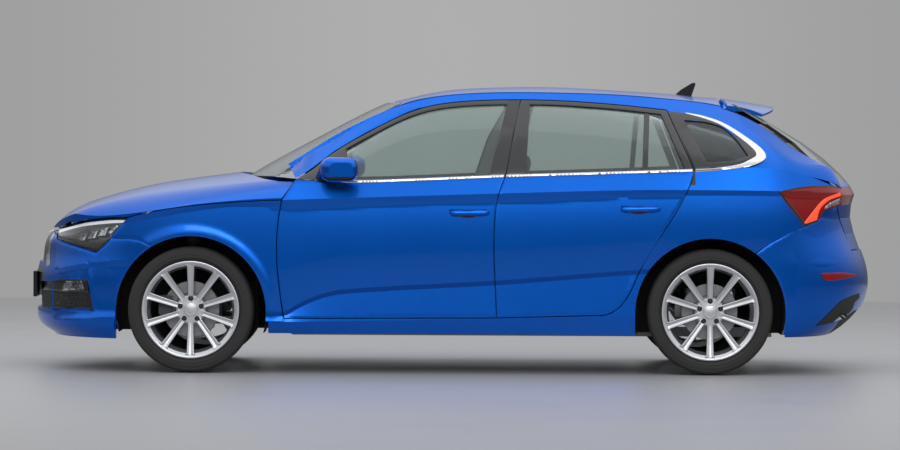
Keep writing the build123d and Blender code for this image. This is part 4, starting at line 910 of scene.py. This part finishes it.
# %% Headlamps
HEADLAMP = polygon((-2043, 722), (-2038, 672), (-1818, 611), (-1762, 662), (-1658, 776), (-1665, 784),
                   (-1750, 783), (-1878, 767), (-1955, 746))
guide = Material("white_light_guide", "lamp_glass", roughness=0.35, emission_strength=0.35)
stripe = guide.noise(50.0)
guide.colour(stripe, (215, 217, 220), (240, 241, 243))
guide.colour(stripe, (215, 217, 220), (250, 250, 250), "Emission Color")
mirror_bowl = Material("reflector", "lamp_glass", metallic=1.0)
facet = mirror_bowl.cells(90.0, output="Color")
mirror_bowl.colour(mirror_bowl.parts(facet)[0], (120, 124, 130), (225, 228, 232))
mirror_bowl.set("Roughness", 0.12 + 0.2 * mirror_bowl.parts(facet)[1])
cover = panel("headlamp_covers", HEADLAMP, nose_side, lens_glass, lift=-1.0, flange=3.0, cell=9.0)
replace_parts(cover, "headlamps")
panel("headlamp_bowls", HEADLAMP, nose_side, gloss, lift=-42.0, flange=20.0, cell=9.0)
strip = outline([(-2036, 716), (-1955, 738), (-1878, 757), (-1750, 773), (-1668, 775)],
                [(-1668, 775), (-1678, 762)],
                [(-1678, 762), (-1750, 757), (-1878, 742), (-1955, 724), (-2034, 700)],
                [(-2034, 700), (-2036, 716)])
panel("headlamp_guides", strip, nose_side, guide, lift=-6.0, flange=14.0, cell=7.0)
for number, (left, low) in enumerate(((-1925, 662), (-1868, 676), (-1812, 692))):
    cube = polygon((left, low), (left + 40, low + 4), (left + 56, low + 44), (left + 18, low + 40))
    panel(f"headlamp_blocks_{number}", cube, nose_side, mirror_bowl, lift=-16.0, flange=16.0, cell=7.0)
side_light = polygon((-1745, 700), (-1700, 742), (-1712, 750), (-1760, 712))
panel("headlamp_side_lights", side_light, nose_side, mirror_bowl, lift=-14.0, flange=12.0, cell=7.0)
brow = outline([(-2040, 728), (-1955, 752), (-1878, 773), (-1750, 789), (-1658, 790)],
               [(-1658, 790), (-1658, 784)],
               [(-1658, 784), (-1750, 783), (-1878, 767), (-1955, 746), (-2043, 722)],
               [(-2043, 722), (-2040, 728)])
panel("headlamp_rims", brow, nose_side, gloss, lift=1.0, flange=5.0, cell=7.0)

# %% Tail lamps
TAIL_LAMP = outline([(1662, 938), (1729, 953), (1780, 962), (1856, 970), (1933, 970), (1984, 964)],
                    [(1984, 964), (1996, 961)], [(1996, 961), (1996, 872)],
                    [(1996, 872), (1948, 858), (1897, 840)], [(1897, 840), (1877, 799)],
                    [(1877, 799), (1867, 786), (1800, 763)], [(1800, 763), (1735, 840), (1662, 938)], step=8.0)


def lamp_side(x, z):
    """The body side carried on under the tail lamp."""
    return side_skin(x, z) + 1.0


bright = Material("bright_light_band", "red_lens", roughness=0.3, coat_weight=1.0, emission_strength=0.9)
ribs = bright.node("ShaderNodeTexWave", {"bands_direction": "Z"}, {"Vector": bright.place, "Scale": 40.0})
bright.colour(ribs * 0.4, (240, 62, 30), (255, 104, 70))
bright.colour(ribs, (225, 48, 22), (240, 84, 50), "Emission Color")
panel("tail_lamp_lenses", TAIL_LAMP, lamp_side, red, lift=1.5, flange=8.0, cell=9.0)
band = outline([(1790, 772), (1842, 838), (1900, 900), (1990, 936)], [(1990, 936), (1992, 918)],
               [(1992, 918), (1925, 893), (1880, 850), (1862, 790)], [(1862, 790), (1790, 772)], step=8.0)
panel("tail_lamp_bands", band, lamp_side, bright, lift=3.0, flange=2.5, cell=7.0)
clear = polygon((1905, 850), (1948, 866), (1992, 880), (1992, 906), (1935, 884), (1908, 862))
panel("tail_lamp_clear_parts", clear, lamp_side, mirror_bowl, lift=3.0, flange=2.5, cell=7.0)
REFLECTOR = polygon((1884, 523), (1907, 488), (1943, 483), (2010, 491), (2085, 503), (2088, 512), (2010, 525))
panel("rear_reflectors", REFLECTOR, surface_of("rear_bumper"), red, lift=4.0, flange=6.0, cell=8.0)
rim_line = polygon((-2104, 520), (-2108, 600), (-2098, 665), (-2074, 706), (-2046, 724), (-2042, 712),
                   (-2062, 690), (-2076, 650), (-2082, 590), (-2080, 535), step=6.0)
panel("grille_rims", rim_line, surface_of("grille", "front_bumper"), chrome, lift=3.0, flange=8.0, cell=7.0)
black_edge = outline([(1662, 938), (1800, 763)], [(1800, 763), (1867, 786)], [(1867, 786), (1877, 799)],
                     [(1877, 799), (1862, 797)], [(1862, 797), (1803, 776)], [(1803, 776), (1676, 938)],
                     [(1676, 938), (1760, 953), (1856, 962), (1990, 957)], [(1990, 957), (1994, 964)],
                     [(1994, 964), (1933, 970), (1780, 962), (1662, 938)], step=6.0)
panel("tail_lamp_edges", black_edge, lamp_side, gloss, lift=3.4, flange=4.0, cell=8.0)
print("lamps made")

# %% [markdown]
# The lower front corner holds a black intake with a net of small hexagons and a fog lamp.

# %% Intake corner
net = Material("intake_net", "black_trim", ior=1.48)
flat_place = net.node("ShaderNodeMapping", sockets={"Vector": net.place, "Scale": (1, 1, 1.6)})
mesh_holes = net.node("ShaderNodeTexVoronoi", {"feature": "DISTANCE_TO_EDGE"},
                      {"Vector": flat_place, "Scale": 55.0})
# the net is solid: its cells are painted near black as painted shade of the openings, and the rims between them
# stay grey
painted_hole_shade = net.between(mesh_holes, 0.05, 0.12)
net.colour(painted_hole_shade, (46, 47, 49), (8, 8, 9))
net.set("Roughness", 0.4 + 0.4 * painted_hole_shade)
net.bump(1 - painted_hole_shade, 0.003)
INTAKE = polygon((-2130, 312), (-1852, 330), (-1834, 306), (-1855, 400), (-2010, 398), (-2130, 402))
FOG_POCKET = polygon((-2128, 404), (-2010, 402), (-1856, 402), (-1863, 470), (-2006, 467), (-2060, 452),
                     (-2100, 428))
FOG_LAMP = polygon((-1985, 458), (-1896, 463), (-1882, 416), (-2008, 406))
panel("intake_nets", INTAKE, nose_side, net, lift=-8.0, flange=8.0, cell=9.0)
panel("fog_pockets", FOG_POCKET, nose_side, gloss, holes=(FOG_LAMP,), lift=-2.0, flange=10.0, cell=9.0)
panel("fog_lamp_fronts", FOG_LAMP, nose_side, mirror_bowl, lift=-3.0, flange=6.0, cell=8.0)
print("front corner made")

# %% [markdown]
# Seats are made as an upholsterer would: a rounded foam block is filled until its cloth bulges, and
# seams are then drawn in. The cloth is simulated with air pressure inside, and no point may move
# further than 24 mm. Front seats have a cushion, a back and a headrest each, and the rear bench has
# three headrests.

# %% Padded blocks
SWELL = 0.024                 # how far the cloth may move
GRAIN = 0.010                 # size of the cloth's mesh
PRESSURE, STEPS = 4.0, 20     # of the air inside, and how many frames it is let in
SEAM_DEPTH, SEAM_WIDTH = 0.006, 0.007


def foam(size, power, bolster):
    """Points and faces of a block with rounded edges whose long sides rise as bolsters."""
    net = bmesh.new()
    bmesh.ops.create_cube(net, size=2.0)
    bmesh.ops.subdivide_edges(net, edges=net.edges, cuts=15, use_grid_fill=True)
    spots = np.array([v.co[:] for v in net.verts])
    faces = [[v.index for v in face.verts] for face in net.faces]
    net.free()
    round_off = (np.abs(spots) ** power).sum(1) ** (1 / power)
    spots = spots / round_off[:, None]
    rise = bolster * np.clip(np.abs(spots[:, 1]) * 1.5 - 0.5, 0, 1) ** 2 * (spots[:, 2] > 0)
    spots = spots * np.array(size) / 2 + np.stack([0 * rise, 0 * rise, rise], 1)
    return spots, faces


def points_of(mesh, kind):
    """The places ("co") or directions ("normal") of a mesh's points."""
    return np.array([getattr(point, kind)[:] for point in mesh.vertices])


def apply_modifiers(made):
    """Makes the result of a piece's modifiers its mesh."""
    shape = made.evaluated_get(bpy.context.evaluated_depsgraph_get())
    mesh = bpy.data.meshes.new_from_object(shape)
    made.modifiers.clear()
    made.data = mesh


def inflate(made):
    """Lets cloth bulge under air pressure, while no point moves further than SWELL."""
    before = points_of(made.data, "co")
    settings = made.modifiers.new("cloth", "CLOTH").settings
    settings.effector_weights.gravity = 0.0
    settings.use_pressure = True
    settings.uniform_pressure_force = PRESSURE
    settings.quality = 3
    for step in range(STEPS):
        bpy.context.scene.frame_set(step + 1)
    apply_modifiers(made)
    moved = points_of(made.data, "co") - before
    far = np.sqrt((moved**2).sum(1))[:, None]
    share = np.minimum(1, SWELL / np.maximum(far, 1e-9))
    made.data.vertices.foreach_set("co", (before + moved * share).ravel())


def pad(name, pads, seams, replaced):
    """One padded piece from foam blocks, each a (middle, size, lean, power, bolster)."""
    spots, faces = [], []
    for middle, size, lean, power, bolster in pads:
        block, skins = foam(size, power, bolster)
        x, y, z = block.T
        turned = np.stack([x * cos(lean) - z * sin(lean), y, x * sin(lean) + z * cos(lean)], 1)
        faces += [[i + sum(map(len, spots)) for i in face] for face in skins]
        spots.append(turned + np.array(middle))
    made = piece(name, np.concatenate(spots), faces, cloth, "body")
    remesh = made.modifiers.new("remesh", "REMESH")
    remesh.mode, remesh.voxel_size, remesh.use_smooth_shade = "VOXEL", GRAIN, True
    apply_modifiers(made)
    inflate(made)
    mesh = made.data
    mesh.update()
    at, out = points_of(mesh, "co"), points_of(mesh, "normal")
    depth = np.max([SEAM_DEPTH * np.exp(-((seam(*at.T) / SEAM_WIDTH) ** 2)) for seam in seams], axis=0)
    mesh.vertices.foreach_set("co", (at - out * depth[:, None]).ravel())
    mesh.materials.clear()
    mesh.materials.append(cloth.made)
    mesh.polygons.foreach_set("use_smooth", np.ones(len(mesh.polygons), bool))
    finer = made.modifiers.new("finer", "SUBSURF")
    finer.levels = finer.render_levels = 1
    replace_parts(made, *replaced)


# %% Five seats
def front_pads(y):
    """Cushion, back and headrest of a front seat."""
    return [((-0.015, y, 0.385), (0.50, 0.47, 0.13), radians(-5), 5, 0.035),
            ((0.245, y, 0.655), (0.11, 0.46, 0.52), radians(-22), 5, 0.0),
            ((0.362, y, 1.045), (0.075, 0.25, 0.15), radians(-15), 4, 0.0)]


def front_seams(x, y, z):
    """Distance from the two long seams of each front seat."""
    return np.abs(np.abs(np.abs(y) - 0.37) - 0.15)


def cross_seams(x, y, z):
    """Distance from the cross seams of the front seats."""
    return np.minimum(np.abs(x - 0.02), np.abs(z - 0.66)) + 10.0 * (np.abs(np.abs(y) - 0.37) > 0.15)


pad("front_seat_pads", front_pads(-0.37) + front_pads(0.37), [front_seams, cross_seams], ("front_seats",))
rear_pads = [((0.72, 0, 0.405), (0.47, 1.0, 0.10), radians(-4), 6, 0.01),
             ((1.045, 0, 0.70), (0.10, 1.0, 0.52), radians(-23), 6, 0.0)]
rear_pads += [((1.165, y, 0.985), (0.07, 0.24, 0.13), radians(-15), 4, 0.0) for y in (-0.33, 0, 0.33)]


def rear_seams(x, y, z):
    """Distance from the seams between the three places."""
    return np.minimum(np.abs(np.abs(y) - 0.165), np.abs(np.abs(y) - 0.46)) + 10.0 * (z > 0.93)


pad("rear_seat_pads", rear_pads, [rear_seams], ("rear_seat",))
posts = []
middles = [(0.343, y + k, 0.945) for y in (-0.37, 0.37) for k in (-0.06, 0.06)]
middles += [(1.15, y + k, 0.925) for y in (-0.33, 0, 0.33) for k in (-0.05, 0.05)]
turn = angles(16)[None]
climb = np.linspace(-50, 50, 5)[:, None]
for x, y, z in middles:
    posts.append(np.stack([x * MM + 6 * np.cos(turn) + climb * 0.3, y * MM + 6 * np.sin(turn) + 0 * climb,
                           z * MM + climb + 0 * turn], -1))
shell("headrest_posts", posts, steel, "body", rows_close=False)
print("seats made")

# %% [markdown]
# Small parts finish the sides: each door has a grip over a flat gloss black patch, painted shade where the
# hollow behind a grip would be, the tail has a dark lower corner with a finisher, and the wiper's hub stands
# out of the rear window.

# %% Door grips
def grip(name, x, z, side, body):
    """A grip: an oval section carried along the door, thinner and closer to the skin at its ends."""
    t = np.linspace(0, 1, 40)[:, None]
    turn = angles(28)[None]
    full = np.clip(1 - np.abs(2 * t - 1) ** 5, 0, 1) ** 0.5
    along_door = x - 102 + 204 * t + 0 * turn
    up = z + 4 * (t - 0.5) + (3 + 11.5 * full) * np.sin(turn)
    width = side_skin(along_door, up) + 2 + 13 * full + (2 + 6 * full) * np.cos(turn)
    shell(name, [np.stack([along_door, side * width, up], -1)], paint, body, rows_close=False)


def painted_recess_shade(x, z):
    """Outline of the black patch under a grip: painted shade where its hollow would be."""
    turn = angles(48)
    return np.stack([x - 10 + 62 * np.cos(turn), z - 4 + 23 * np.sin(turn)], 1)


for stem, x, z in (("front", 92, 823), ("rear", 962, 846)):
    for name, side in SIDES:
        grip(f"{stem}_{name}_grip", x, z, side, f"{stem}_{name}_door")
        # a gloss black patch lying on the skin under each grip: painted shade of the hollow
        panel(f"{stem}_{name}_recess", painted_recess_shade(x, z), side_skin, gloss, f"{stem}_{name}_door", (side,), lift=2.2,
              flange=3.0, cell=9.0)

# %% Lower corners and the rear wiper
corner_side = surface_of("rear_bumper", "rear_diffuser")
corner = polygon((1866, 250), (1932, 314), (1997, 378), (2060, 402), (2109, 413), (2111, 388), (2082, 367),
                 (2069, 328), (2049, 308), (2043, 289), (1958, 266))
panel("rear_lower_corners", corner, corner_side, grained, lift=4.0, flange=40.0, cell=9.0)
finisher = polygon((2000, 300), (2049, 306), (2045, 290), (1962, 268), step=6.0)
panel("tail_pipe_finishers", finisher, corner_side, chrome, lift=6.0, flange=12.0, cell=7.0)
turn = angles(24)[None]
t = np.linspace(0, 1, 9)[:, None]
taper = np.sqrt(1.02 - t**4)
hub = np.stack([1905 + 30 * t + 0 * turn, 17 * np.cos(turn) * taper, 1050 + 14 * np.sin(turn) * taper + 6 * t],
               -1)
shell("rear_wiper_hub", [hub], grained, "tailgate", rows_close=False)
print("small parts made")

# %% [markdown]
# The studio: a round pale floor that keeps the shadow, painted darker towards its edge as painted shade, a soft
# sky that is bright overhead and dim at the horizon, as large ceiling lamps make it, one broad lamp above and a
# stronger one high on the camera's side. The backdrop is the world, which camera rays see as grey with painted
# light: brighter in the middle and darker to the sides.

# %% Floor
RADIUS, SEGMENTS = 9.95, 128  # metres, and corners of its edge
turns = angles(SEGMENTS)
disc = bpy.data.meshes.new("studio_floor")
rim = np.stack([RADIUS * np.cos(turns), RADIUS * np.sin(turns), np.zeros(SEGMENTS)], 1)
disc.from_pydata(rim.tolist(), [], [list(range(SEGMENTS))])
floor = bpy.data.objects.new("studio_floor", disc)
bpy.context.scene.collection.objects.link(floor)
ground = Material("floor_paint", "underbody", ior=1.4)
gx, gy, _ = ground.parts()
reach = (gx * gx + gy * gy) ** 0.5
patch = ground.noise(1.5, 5.0)
# the floor is painted darker away from the car: painted shade of the lamps' fall-off
far = ground.between(reach, 2.0, 9.6)
ground.set("Base Color", ground.mix(far, (0.36, 0.36, 0.37, 1.0), (0.21, 0.21, 0.215, 1.0)))
ground.set("Roughness", 0.34 + 0.12 * patch)
disc.materials.append(ground.made)

# %% Sky and backdrop
world = bpy.data.worlds.new("studio")
bpy.context.scene.world = world
world.use_nodes = True
sky = Shader(world.node_tree)
for old in list(world.node_tree.nodes):
    world.node_tree.nodes.remove(old)
direction = sky.node("ShaderNodeTexCoord", output="Generated")
split = sky.node("ShaderNodeSeparateXYZ", sockets={"Vector": direction})
east, _, up = [Value(sky, out) for out in split.socket.node.outputs]
glow = sky.between(up, -0.05, 0.42, 0.10, 0.98)
# the backdrop seen by camera and transmission rays is painted brighter in the middle and darker to the sides:
# painted light
wall = sky.between(abs(east), 0.0, 0.11, 0.43, 0.35)
seen = sky.node("ShaderNodeLightPath", output="Is Camera Ray")
through = sky.node("ShaderNodeLightPath", output="Is Transmission Ray")
lit = sky.node("ShaderNodeBackground", sockets={"Color": (0.97, 0.98, 1.0, 1.0), "Strength": glow})
backdrop_painted_light = sky.node("ShaderNodeBackground", sockets={"Color": (0.99, 0.99, 1.0, 1.0), "Strength": wall})
share = sky.node("ShaderNodeMath", {"operation": "MAXIMUM"}, {0: seen, 1: through})
mixed = sky.node("ShaderNodeMixShader", sockets={0: share, 1: lit, 2: backdrop_painted_light})
out = sky.tree.nodes.new("ShaderNodeOutputWorld")
sky.tree.links.new(mixed.socket, out.inputs["Surface"])

# %% Lamps
def lamp(name, place, target, size, power):
    """A broad rectangular lamp aimed at a point."""
    light = bpy.data.lights.new(name, "AREA")
    light.shape, light.size, light.size_y, light.energy = "RECTANGLE", size[0], size[1], power
    made = bpy.data.objects.new(name, light)
    made.location = place
    made.rotation_euler = (Vector(target) - Vector(place)).to_track_quat("-Z", "Y").to_euler()
    bpy.context.scene.collection.objects.link(made)


lamp("ceiling_lamp", (0, -0.6, 4.6), (0, 0, 0), (6.5, 3.0), 30)
lamp("side_lamp", (0.5, -8.5, 4.2), (0, 0, 0.6), (7.0, 2.0), 165)

# %% [markdown]
# The camera stands about 24 m away, at 1.25 m above the ground, with a long lens, so that the car shows
# almost no perspective. It looks down by one degree and leans by a third of a degree.

# %% Camera
FOCAL, WIDE = 4633.0, 900     # focal length and width of the picture, in pixels
EYE = (-0.008, -24.44, 1.25)
lens = bpy.data.cameras.new("camera")
lens.sensor_width, lens.lens = 36.0, FOCAL * 36.0 / WIDE
camera = bpy.data.objects.new("camera", lens)
pitch, lean = atan(96.2 / FOCAL), 0.0052
ahead = Vector((0, cos(pitch), -sin(pitch)))
level = Vector((1, 0, 0))
above = level.cross(ahead)
right = (level * cos(lean) + above * sin(lean)).normalized()
top = right.cross(ahead)
camera.matrix_world = Matrix.Translation(EYE) @ Matrix((right, top, -ahead)).transposed().to_4x4()
bpy.context.scene.collection.objects.link(camera)
bpy.context.scene.camera = camera
bpy.context.scene.view_settings.view_transform = "Standard"
